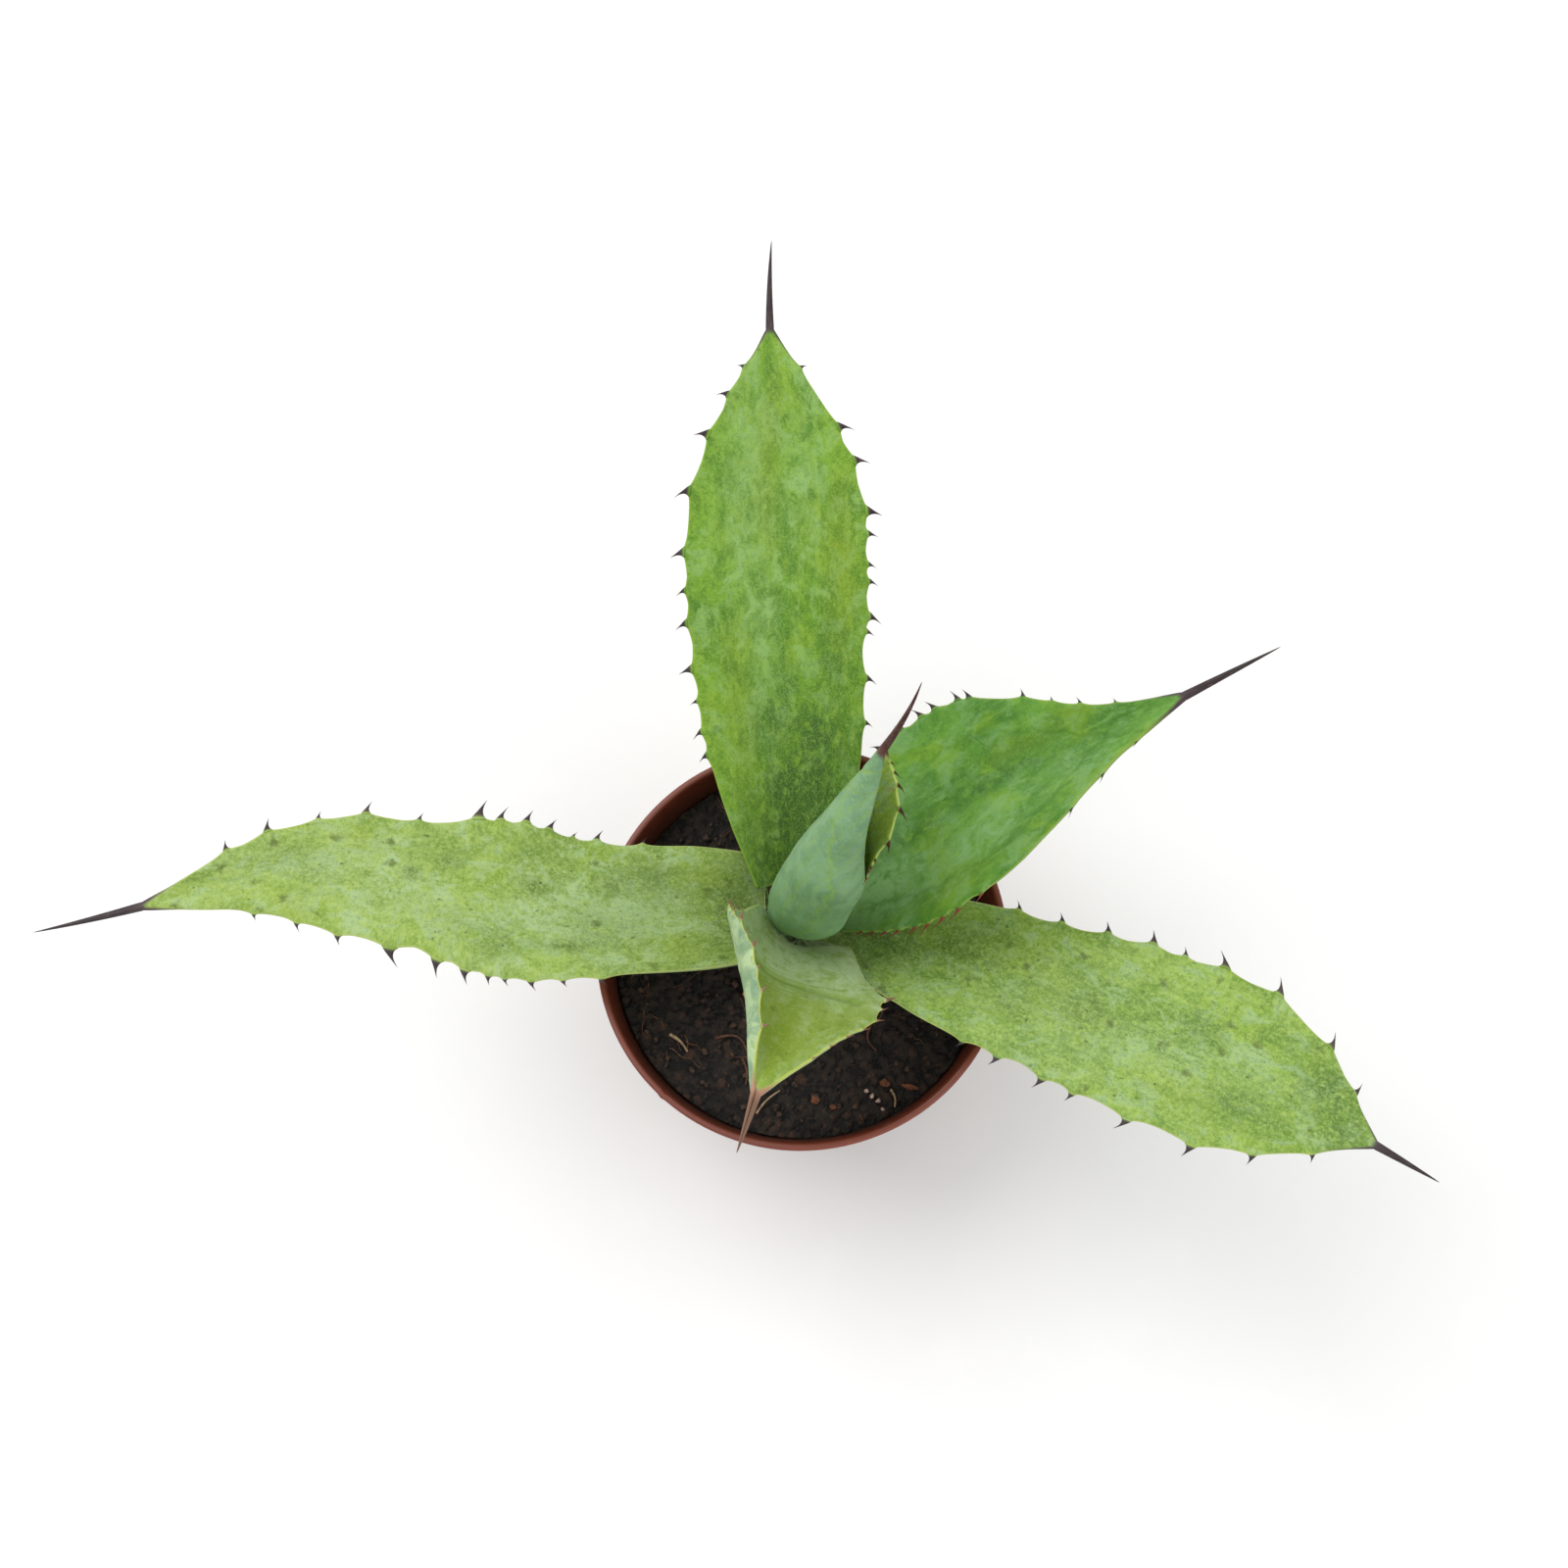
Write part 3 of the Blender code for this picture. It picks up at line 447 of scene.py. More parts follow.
def leaf_material(name, look):
    """Waxy leaf skin: green ground, pale streaks, powdery bloom, flecks, thin pale margin, dark horn, and partly
    painted shade in its dark patches and pressed lines.
    """
    w = Weave(name + "_skin")
    place = w.vector("leaf_mm")
    edge, horn, tip, under, dark, light, warm, rust, ruddy, press = map(w.value, (
        "edge_mm", "horn", "horn_tip", "under", "dark", "light", "warm", "rust", "ruddy", "press"))
    broad, streak, cloud, blotch, sunny, coarse, horn_grain = (
        w.noise(w.stretch(place, stretch, shift), *how) for stretch, shift, how in (
            ((0.5, 1, 1), (0, 0, 0), (0.075, 4, 0.6, 0.4)),
            ((0.13, 1, 1), (0, 0, 0), (0.42, 4, 0.62, 0.3)),
            ((0.7, 1, 1), (31, 17, 5), (0.15, 6, 0.7, 0.6)),
            ((0.8, 1, 1), (3, 61, 9), (0.27, 5, 0.68, 0.4)),
            ((0.6, 1, 1), (9, 77, 3), (0.085, 4, 0.55, 0.3)),
            ((0.8, 1, 1), (41, 7, 2), (0.75, 4, 0.7)),
            ((0.3, 2.2, 1), (0, 0, 0), (1.2, 3, 0.6)),
        ))
    grain = w.noise(place, 1.5, 3, 0.6)
    deep, pale, bloom, fleck = (look[key] for key in ("deep", "pale", "bloom", "fleck"))
    mottle = look.get("mottle", 1.0)
    cloudy = 0.35 + 0.65 * mottle

    colour = w.mix(w.step(broad, 0.38, 0.60), look["mid"], deep)
    colour = w.tint(colour, pale, streak, 0.48, 0.70, 0.0, 0.5)
    colour = w.tint(colour, SUNNY_GREEN, sunny, 0.50, 0.62, 0.0, 0.42)
    powder = w.maths("ADD", w.step(cloud, 0.48, 0.62, 0.0, 0.85 * cloudy),
                     w.times(light, w.step(blotch, 0.30, 0.62, 0.25, 1.35)), clamp=True)
    colour = w.mix(powder, colour, bloom)
    colour = w.tint(colour, deep, cloud, 0.33, 0.48, 0.9 * cloudy, 0.0)
    # Dark patches: partly the leaf's own olive patches, partly painted shade at the bases of the lower leaves and
    # along midrib valleys.
    olive_and_shade = w.times(dark, w.step(blotch, 0.34, 0.60, 0.1, 1.6), clamp=True)
    colour = w.mix(olive_and_shade, colour, deep)
    colour = w.mix(w.times(olive_and_shade, 0.65), colour, MURKY_GREEN)
    colour = w.mix(w.times(warm, w.step(blotch, 0.3, 0.7, 0.6, 1.1), clamp=True), colour, WARM_GREEN)
    for tone, value, low, high, to_low, to_high in (
        (pale, coarse, 0.50, 0.66, 0.0, 0.5), (deep, coarse, 0.36, 0.47, 0.5, 0.0),
        (pale, grain, 0.42, 0.70, 0.0, 0.5), (deep, grain, 0.30, 0.46, 0.45, 0.0),
    ):
        colour = w.tint(colour, tone, value, low, high, to_low * mottle, to_high * mottle)
    # Painted shade in the pressed lines and creases, darker where they are deeper, together with the prints' own
    # darker marking.
    colour = w.mix(w.times(press, 0.55), colour, deep)
    for scale, low, high, pick_from, shift, tone in (
        (0.15, 0.04, 0.30, 0.66, (0, 0, 0), fleck), (0.36, 0.06, 0.24, 0.74, (5, 2, 8), fleck),
        (0.62, 0.06, 0.20, 0.86, (2, 9, 4), fleck), (0.42, 0.06, 0.15, 0.93, (7, 3, 1), SPECK),
    ):
        ragged = w.new("ShaderNodeVectorMath", {"operation": "ADD"})
        w.put(ragged.inputs[0], w.stretch(place, (0.8, 1, 1), shift))
        w.put(ragged.inputs[1], w.new("ShaderNodeCombineXYZ", X=w.times(grain, 1.6), Y=blotch).outputs[0])
        near, tint = w.cells(ragged.outputs[0], scale)
        pick = w.new("ShaderNodeSeparateColor", Color=tint).outputs["Red"]
        torn = w.maths("ADD", near, w.times(w.maths("SUBTRACT", coarse, 0.5), 0.55))
        spot = w.times(w.step(torn, low, high, 0.8, 0.0), w.step(pick, pick_from, pick_from + 0.05))
        colour = w.mix(w.times(spot, look["speck"]), colour, tone)

    back = w.mix(w.step(cloud, 0.36, 0.66), look["under"], bloom)
    back = w.tint(back, bloom, streak, 0.50, 0.68, 0.0, look.get("back_streak", 0.6))
    back = w.tint(back, deep, coarse, 0.34, 0.50, 0.55, 0.0)
    back = w.tint(back, pale, coarse, 0.54, 0.70, 0.0, 0.35)
    # Painted shade and print marking in the pressed lines, on the underside too.
    back = w.mix(w.times(press, 0.55), back, deep)
    colour = w.mix(w.times(under, 0.96), colour, back)
    colour = w.mix(w.times(rust, w.step(grain, 0.38, 0.6, 0.2, 1.5), clamp=True), colour, RUST)
    colour = w.tint(colour, look["edge"], w.maths("ADD", edge, w.times(grain, 0.3)), 0.18, 0.52, 0.75, 0.0)

    horn_base = tuple(min(255, int(c * 1.6 + 10)) for c in look["horn"])
    dried = w.mix(w.step(tip, 0.02, 0.42), horn_base, look["horn"])
    dried = w.tint(dried, WORN_HORN, horn_grain, 0.45, 0.75, 0.0, 0.30)
    colour = w.mix(horn, colour, w.mix(ruddy, dried, RUDDY_HORN))
    relief = w.maths("ADD", w.times(streak, 0.6), w.times(grain, 0.25))
    rough = w.step(cloud, 0.35, 0.7, 0.44, 0.62)
    return w.finish(colour, rough, w.bump(relief, 0.4, 0.0006), IOR=1.42, Specular_IOR_Level=0.32)


def mottled(name, colours, scale, rough, stretch=(1, 1, 1), bump=(0.4, 0.0006), where=None):
    """A rough natural stuff of three colours, in object space or along a piece."""
    w = Weave(name)
    place = w.vector(where) if where else w.new("ShaderNodeTexCoord").outputs["Object"]
    place = w.stretch(place, stretch)
    broad = w.noise(place, scale, 4, 0.6, 0.4)
    fine = w.noise(place, scale * 6.3, 4, 0.6)
    colour = w.mix(w.step(broad, 0.38, 0.62), colours[0], colours[1])
    colour = w.tint(colour, colours[2], fine, 0.5, 0.72)
    normal = w.bump(w.maths("ADD", w.times(broad, 0.5), fine), *bump)
    return w.finish(colour, w.step(fine, 0.3, 0.7, rough - 0.06, rough + 0.06), normal)


# ---- leaves -----------------------------------------------------------------------------------------

def leaf_axis(leaf, at):
    """Midrib point, side and normal at shares of the whole length, with the spine."""
    fine = np.linspace(0, 1, 401)
    length = (leaf["blade"] + leaf["spine"]) * MM
    rise = np.radians(smooth_values(leaf["rise"], fine))
    head = np.radians(smooth_values(leaf["head"], fine))
    roll = np.radians(smooth_values(leaf["roll"], fine))[:, None]
    along = np.c_[np.cos(rise) * np.cos(head), np.cos(rise) * np.sin(head), np.sin(rise)]
    steps = 0.5 * (along[1:] + along[:-1]) * length / 400
    angle, radius, height = leaf["start"]
    start = np.array([
        radius * STEM_DIAMETER / 2 * math.cos(math.radians(angle)),
        radius * STEM_DIAMETER / 2 * math.sin(math.radians(angle)) + PLANT_SHIFT,
        height * STEM_RISE + SOIL_TOP,
    ])
    points = start + np.r_[[np.zeros(3)], np.cumsum(steps, 0)]
    level = np.c_[-np.sin(head), np.cos(head), np.zeros_like(head)]
    up = np.cross(along, level)
    side = level * np.cos(roll) + up * np.sin(roll)
    normal = up * np.cos(roll) - level * np.sin(roll)
    return [np.stack([np.interp(at, fine, a[:, k]) for k in range(3)], 1) for a in (points, side, normal)]


def leaf_face(leaf, at, across, face):
    """Points and outward directions of one face of a leaf, with a rounded margin."""
    centre, side, normal = leaf_axis(leaf, at)
    length = leaf["blade"] + leaf["spine"]
    on_blade = np.clip(at * length / leaf["blade"], 0, 1)
    on_spine = np.clip((at * length - leaf["blade"]) / leaf["spine"], 0, 1)
    taper = (1 - on_spine) ** 0.8
    half = smooth_values(leaf["half"], on_blade) * taper * MM + 0.05 * MM * (on_spine > 0)
    thick = smooth_values(leaf["thick"], on_blade) * 0.5 * taper * MM + 0.05 * MM * (on_spine > 0)
    toward_spine = np.clip((on_blade - 0.93) / 0.07, 0, 1)
    points, ups = [], []
    for v in across:
        hand = 0 if v >= 0 else 1
        fold = np.radians(smooth_values(leaf["fold"][hand], on_blade))
        curl = np.radians(smooth_values(leaf["curl"][hand], on_blade))
        power = leaf["power"][hand]
        share = abs(v)
        wide = smooth_values(leaf["wide"][hand], on_blade)
        q = (np.arange(24) + 0.5) / 24 * share
        angle = fold[:, None] * np.tanh(q / 0.18) + curl[:, None] * q**power
        out = np.cos(angle).mean(1) * share * half * wide
        lift = np.sin(angle).mean(1) * share * half * wide
        local = fold * np.tanh(share / 0.18) + curl * share**power
        lens = math.sqrt(max(1 - share**2.2, 0))
        depth = thick * lens + 0.35 * MM * (1 - toward_spine) * (1 - lens)
        if share > 0.965:
            depth = depth * math.sqrt(max(1 - ((share - 0.965) / 0.035) ** 2, 0))
        depth = face * depth
        sign = 1 if v >= 0 else -1
        turned = -sign * side * np.sin(local)[:, None] + normal * np.cos(local)[:, None]
        points.append(centre + side * (sign * out)[:, None] + normal * lift[:, None] + turned * depth[:, None])
        ups.append(turned * face)
    return np.stack(points, 1), np.stack(ups, 1), half, on_blade, on_spine


def margin_wave(leaf, hand, run, on_blade):
    """How far the margin stands out at each station: a cusp under each tooth and a hollow between."""
    wave = smooth_values(leaf["swell"][hand], on_blade)
    cusps = np.zeros_like(run)
    for share, size in leaf["teeth"][hand]:
        apart = np.abs(run - share * leaf["blade"])
        cusps = np.maximum(cusps, 0.62 * size * np.exp(-((apart / (1.15 * size)) ** 1.15)))
    fade = np.clip((on_blade - 0.05) / 0.15, 0, 1) * np.clip((0.99 - on_blade) / 0.04, 0, 1)
    return (wave + cusps - 0.45 + 0.25 * lattice_noise(run / 9, run * 0 + hand, 5)) * fade


def tooth(root, out, back, up, size, lean, bend):
    """A flattened, hooked prickle: rings from inside the margin to the point."""
    t = np.linspace(0, 1, 11)
    reach = (-0.22 + 1.22 * t) * size
    drawn = lean * size * np.clip(reach / size, 0, 1) ** 1.4
    path = root + out * reach[:, None] + back * drawn[:, None] + up * (bend * size * t**2)[:, None]
    wide = size * (0.40 * (1 - t) ** 2.6 + 0.12 * (1 - t) ** 0.8 + 0.010)
    deep = size * (0.10 * (1 - t) ** 2.0 + 0.09 * (1 - t) ** 0.8 + 0.010)
    turn = around(12)
    rings = (path[:, None] + (wide[:, None] * np.cos(turn))[..., None] * back
             + (deep[:, None] * np.sin(turn))[..., None] * up)
    points, faces = shell(rings, end=path[-1] + (out + 1.4 * lean * back) * size * 0.03)
    share = np.r_[np.repeat(t, len(turn)), [0.0, 1.0]]
    return points, faces, share


def spots(run, across_mm, marks):
    """The sum of soft round marks: (along in mm, across in mm, radius along, radius across, strength)."""
    total = np.zeros(np.broadcast(run, across_mm).shape)
    for along, across, wide, high, strength in marks:
        total += strength * np.exp(-((run - along) / wide) ** 2 - ((across_mm - across) / high) ** 2)
    return total


def build_leaf(name, leaf, look, marks):
    length = leaf["blade"] + leaf["spine"]
    tip = leaf["blade"] / length
    across = np.sin(np.linspace(-math.pi / 2, math.pi / 2, ACROSS))
    along = np.linspace(0, 1, ON_SPINE + 1)[1:-1]
    at = np.r_[np.linspace(0, tip, ALONG), tip + (1 - tip) * along]
    above, up_above, half, on_blade, on_spine = leaf_face(leaf, at, across, 1)
    below, up_below, *_ = leaf_face(leaf, at, across, -1)
    run = at * length
    half_mm = half / MM
    across_mm = across[None, :] * half_mm[:, None]
    seed = sum(map(ord, name))
    inner = 1 - np.abs(across) ** 8
    fade = np.clip(on_blade / 0.08, 0, 1) * np.clip((1 - on_blade) / 0.06, 0, 1)
    for points, ups, flip in ((above, up_above, 0), (below, up_below, 40)):
        relief = 0.42 * lattice_noise(run[:, None] / 19, across_mm / 8 + 20, seed + flip)
        relief += 0.13 * lattice_noise(run[:, None] / 11, across_mm / 1.9 + 60, seed + 1 + flip)
        relief += 0.05 * lattice_noise(run[:, None] / 2.3, across_mm / 1.3 + 60, seed + 2 + flip)
        if not flip or name == "spear_leaf":
            relief += marks["relief"](run[:, None], across_mm, half_mm[:, None])
        points += ups * (relief * inner * fade[:, None])[..., None] * MM
    back = unit(-np.gradient(above[:, ACROSS // 2], axis=0))
    edges = {}
    for edge, inside, hand in ((-1, -5, 0), (0, 4, 1)):
        out = unit(above[:, edge] - 0.5 * (above[:, inside] + below[:, inside]))
        wave = margin_wave(leaf, hand, run, on_blade)
        weight = np.clip(across if hand == 0 else -across, 0, 1) ** 10
        for points in (above, below):
            points += (wave[:, None] * weight)[..., None] * out[:, None] * MM
        edges[hand] = (above[:, edge].copy(), out, up_above[:, edge])
    # How deep the relief is pressed in; it sets the painted shade and print marking in the grooves.
    press = np.clip(-marks["relief"](run[:, None], across_mm, half_mm[:, None]) / 0.3, 0, 1) * fade[:, None]
    rings = np.concatenate([above, below[:, ::-1][:, 1:-1]], 1)
    v = np.r_[across, across[::-1][1:-1]]
    under = np.r_[np.zeros(ACROSS), np.ones(ACROSS - 2)]
    points, faces = shell(rings, end=leaf_axis(leaf, np.array([1.0]))[0][0])
    rows, count = rings.shape[:2]

    def ends(value):
        value = np.broadcast_to(value, (rows, count))
        return np.r_[value.ravel(), value[0].mean(), value[-1].mean()]

    edge_mm = (1 - np.abs(v))[None, :] * half_mm[:, None]
    to_tip = leaf["blade"] - run[:, None]
    horn = np.clip(1.2 - to_tip / 1.5, 0, 1) + 0 * v
    reach = marks.get("horn_reach", HORN_REACH)
    horn = np.maximum(horn, np.clip(1.4 * (1 - to_tip / reach) - edge_mm / 0.9, 0, 1) * (to_tip < reach))
    horn_tip = 0.25 + 0.75 * on_spine[:, None] + 0 * v
    all_mm = v[None, :] * half_mm[:, None]
    flat_mm = np.stack([run[:, None] + 0 * all_mm, all_mm, under[None, :] * 60 + seed % 37 + 0 * all_mm], -1)
    place = np.r_[flat_mm.reshape(-1, 3), [flat_mm[0].mean(0)], [flat_mm[-1].mean(0)]]
    bundle = Bundle()
    bundle.add(
        points, faces, leaf_mm=place, edge_mm=ends(edge_mm), horn=ends(horn), horn_tip=ends(horn_tip),
        under=ends(under[None, :]), press=ends(np.c_[press, press[:, ::-1][:, 1:-1]]), ruddy=0.0, **{
            key: ends(np.clip(spots(run[:, None], all_mm, marks.get(key, ())) * side + near_base, 0, 1))
            for key, side, near_base in (
                ("dark", 1 - under, 0), ("light", 1 - under, 0.5 * np.exp(-run[:, None] / PALE_BASE)),
                ("rust", under, 0), ("warm", 1 - under, 0),
            )
        },
    )
    chance = np.random.default_rng(seed)
    for hand in (0, 1):
        margin, out, ups = edges[hand]
        for share, size in leaf["teeth"][hand]:
            k = int(np.argmin(np.abs(run - share * leaf["blade"])))
            lean = chance.uniform(0.35, 0.8) + marks.get("lean", (0, 0))[hand]
            tangent = unit(margin[max(k - 3, 0)] - margin[min(k + 3, rows - 1)])
            outward = unit(out[k] - tangent * (out[k] @ tangent))
            over = unit(np.cross(outward, tangent))
            if over @ ups[k] < 0:
                over = -over
            spike, sides, t = tooth(margin[k], outward, tangent, over, 1.2 * size * MM, lean,
                                    chance.uniform(-0.1, 0.35))
            ground = np.array([share * leaf["blade"], (1 - 2 * hand) * half_mm[k], 20.0])
            cap = np.clip((t - 0.10) / 0.12, 0, 1)
            bundle.add(spike, sides, leaf_mm=ground + t[:, None] * np.array([2.0, 1.0, 0.0]), edge_mm=0.9,
                       horn=cap, horn_tip=0.1 + t, under=0.0, press=0.0, dark=0.0, light=0.0, warm=0.0, rust=0.0,
                       ruddy=marks.get("ruddy", (0, 0))[hand] * (share < 0.66) * (1 - 0.5 * t))
    settle(bundle.object(name + "_visual"), name, leaf_material(name, look))


def imprint(leaf_inset, depth, wide, pitch):
    """Shallow lines pressed in by the neighbouring leaf's toothed margin."""
    def relief(run, across_mm, half_mm):
        line = half_mm - leaf_inset - 1.6 * np.abs(np.sin(run * math.pi / pitch)) ** 0.6
        total = 0.0
        for hand in (1, -1):
            total = total - depth * np.exp(-(((hand * across_mm - line) / wide) ** 2))
        return total
    return relief


def front_relief(run, across_mm, half_mm):
    """Creases across the front leaf where it bends."""
    total = -0.5 * np.exp(-(((run - 41 - 0.10 * across_mm) / 2.2) ** 2)) * (np.abs(across_mm) < half_mm * 0.8)
    for k in range(9):
        start = 30 + 2.6 * k
        total = total - 0.18 * np.exp(-(((run - start - 0.05 * across_mm * (k % 3 - 1)) / 0.6) ** 2)) * np.exp(
            -(((across_mm - 6 * math.sin(2.4 * k)) / 9) ** 2))
    return total + imprint(8, 0.16, 0.6, 9)(run, across_mm, half_mm)


def spear_relief(run, across_mm, half_mm):
    """Lines along the rolled leaf and the margin prints of the leaf that wrapped it."""
    total = imprint(9, 0.26, 0.6, 9)(run, across_mm, half_mm) + imprint(17, 0.14, 0.5, 12)(run, across_mm, half_mm)
    return total - 0.10 * np.abs(np.sin(across_mm * 0.9 + 0.6 * np.sin(run / 17))) ** 6


# The dark marks are partly the leaf's own olive patches and partly painted shade: at the bases of the lower leaves,
# under the crown, and in narrow streaks along midrib valleys.
MARKS = {
    "leaf_left": {
        "dark": ((60, 8, 14, 8, 0.25), (84, -5, 4, 2.5, 0.7), (112, -8, 3.5, 2.5, 0.6), (40, -12, 16, 6, 0.3),
          (14, 2, 10, 16, 0.7), (26, 16, 14, 5, 0.4), (96, 14, 14, 5, 0.25), (158, -2, 10, 6, 0.25),
          (124, -3, 3, 2.5, 0.5), (72, 14, 6, 2, 0.5), (58, -9, 4, 3, 0.5)),
        "light": ((150, -4, 26, 8, 0.4), (80, 6, 26, 12, 0.4), (125, 8, 20, 8, 0.3), (54, 2, 16, 13, 0.75),
          (36, -6, 10, 8, 0.4)),
        "warm": ((140, -12, 8, 5, 0.4), (118, 10, 12, 6, 0.25), (175, 4, 20, 6, 0.35), (150, -14, 20, 4, 0.3),
          (36, 14, 12, 5, 0.6), (24, -14, 10, 5, 0.6), (98, -4, 12, 6, 0.35), (158, 12, 10, 5, 0.5)),
        "relief": imprint(9, 0.1, 0.7, 11),
    },
    "leaf_low_right": {
        "dark": ((14, 4, 20, 18, 0.9), (52, 6, 12, 8, 0.5), (96, 0, 8, 5, 0.6), (132, 8, 6, 5, 0.5),
          (150, -10, 10, 6, 0.4), (172, 6, 9, 8, 0.6), (182, -4, 6, 6, 0.5), (74, -8, 8, 4, 0.4)),
        "light": ((110, -8, 30, 8, 0.4), (150, 2, 16, 8, 0.3), (44, -10, 20, 6, 0.3)),
        "warm": ((70, 10, 16, 6, 0.35), (128, -14, 14, 5, 0.4), (92, -4, 20, 8, 0.25), (36, 8, 12, 5, 0.3)),
        "relief": imprint(10, 0.1, 0.7, 12),
    },
    "leaf_top": {
        "dark": ((6, 0, 16, 18, 0.9), (32, -4, 12, 14, 1), (52, -10, 10, 8, 0.8), (58, 6, 8, 6, 0.5),
          (70, -2, 6, 5, 0.4), (76, -16, 12, 5, 0.4), (165, 0, 14, 3, 0.35)),
        "light": ((95, 6, 40, 5, 0.5), (140, -8, 22, 6, 0.5), (120, 14, 30, 6, 0.35), (62, 8, 14, 8, 0.3),
          (28, -6, 8, 10, 0.35), (150, 8, 20, 6, 0.35)),
        "warm": ((150, 2, 14, 4, 0.4), (110, -20, 26, 4, 0.55), (128, 4, 16, 4, 0.35), (60, 16, 30, 5, 0.4)),
        "relief": imprint(8, 0.1, 0.7, 12),
    },
    "leaf_front": {
        "dark": ((44, 4, 6, 14, 0.2), (20, -14, 10, 6, 0.2)),
        "light": ((22, 2, 20, 26, 1.25), (36, 16, 12, 10, 0.6)),
        "warm": ((72, 2, 20, 14, 0.75), (92, 0, 14, 8, 0.5), (56, -12, 10, 8, 0.4), (50, 8, 8, 12, 0.35)),
        "relief": front_relief, "horn_reach": 7, "ruddy": (0.35, 0.35), "lean": (0, -0.3),
    },
    "leaf_upper_right": {
        "dark": ((40, 6, 16, 6, 0.25), (84, 8, 22, 6, 0.3), (70, 3, 40, 3, 0.3)),
        "light": ((70, -12, 30, 7, 0.4), (110, -4, 20, 5, 0.3), (40, 14, 24, 6, 0.3), (14, 0, 24, 24, 1.2)),
        "warm": ((60, -22, 22, 4, 0.35), (100, 10, 16, 4, 0.3)), "relief": imprint(10, 0.24, 0.6, 10),
        "ruddy": (0, 0.95), "lean": (0, 0.5),
    },
    "spear_leaf": {
        "relief": spear_relief, "horn_reach": 6, "ruddy": (0, 0.7), "warm": ((90, -20, 16, 8, 0.35),),
        "rust": ((9, -8, 1.6, 1.3, 1.4), (15, -14, 1.4, 1.6, 1.4), (22, -17, 1.5, 1.2, 1.2),
          (31, -21, 1, 1, 1), (26, 6, 0.8, 0.8, 0.7)),
    },
}


# ---- pot, soil and litter ---------------------------------------------------------------------------

def rounded(profile, cuts, steps=6):
    """The profile with each corner cut back and turned into a small curve."""
    profile = np.asarray(profile, float)
    out = [profile[:1]]
    for k in range(1, len(profile) - 1):
        before, here, after = profile[k - 1:k + 2]
        a = here + unit(before - here) * min(cuts[k], 0.45 * np.linalg.norm(before - here))
        b = here + unit(after - here) * min(cuts[k], 0.45 * np.linalg.norm(after - here))
        t = np.linspace(0, 1, steps)[:, None]
        out.append((1 - t) ** 2 * a + 2 * t * (1 - t) * here + t**2 * b)
    out.append(profile[-1:])
    return np.concatenate(out)


def split_long(profile, most):
    out = [profile[0]]
    for a, b in zip(profile[:-1], profile[1:]):
        count = max(1, int(np.ceil(np.linalg.norm(b - a) / most)))
        out += [a + (b - a) * k / count for k in range(1, count + 1)]
    return np.array(out)


def turned_rings(profile, steps, centre=(0.0, 0.0)):
    turn = around(steps)
    r, z = profile[:, 0], profile[:, 1]
    return np.stack([
        r[:, None] * np.cos(turn) + centre[0],
        r[:, None] * np.sin(turn) + centre[1],
        z[:, None] + 0 * turn,
    ], -1)


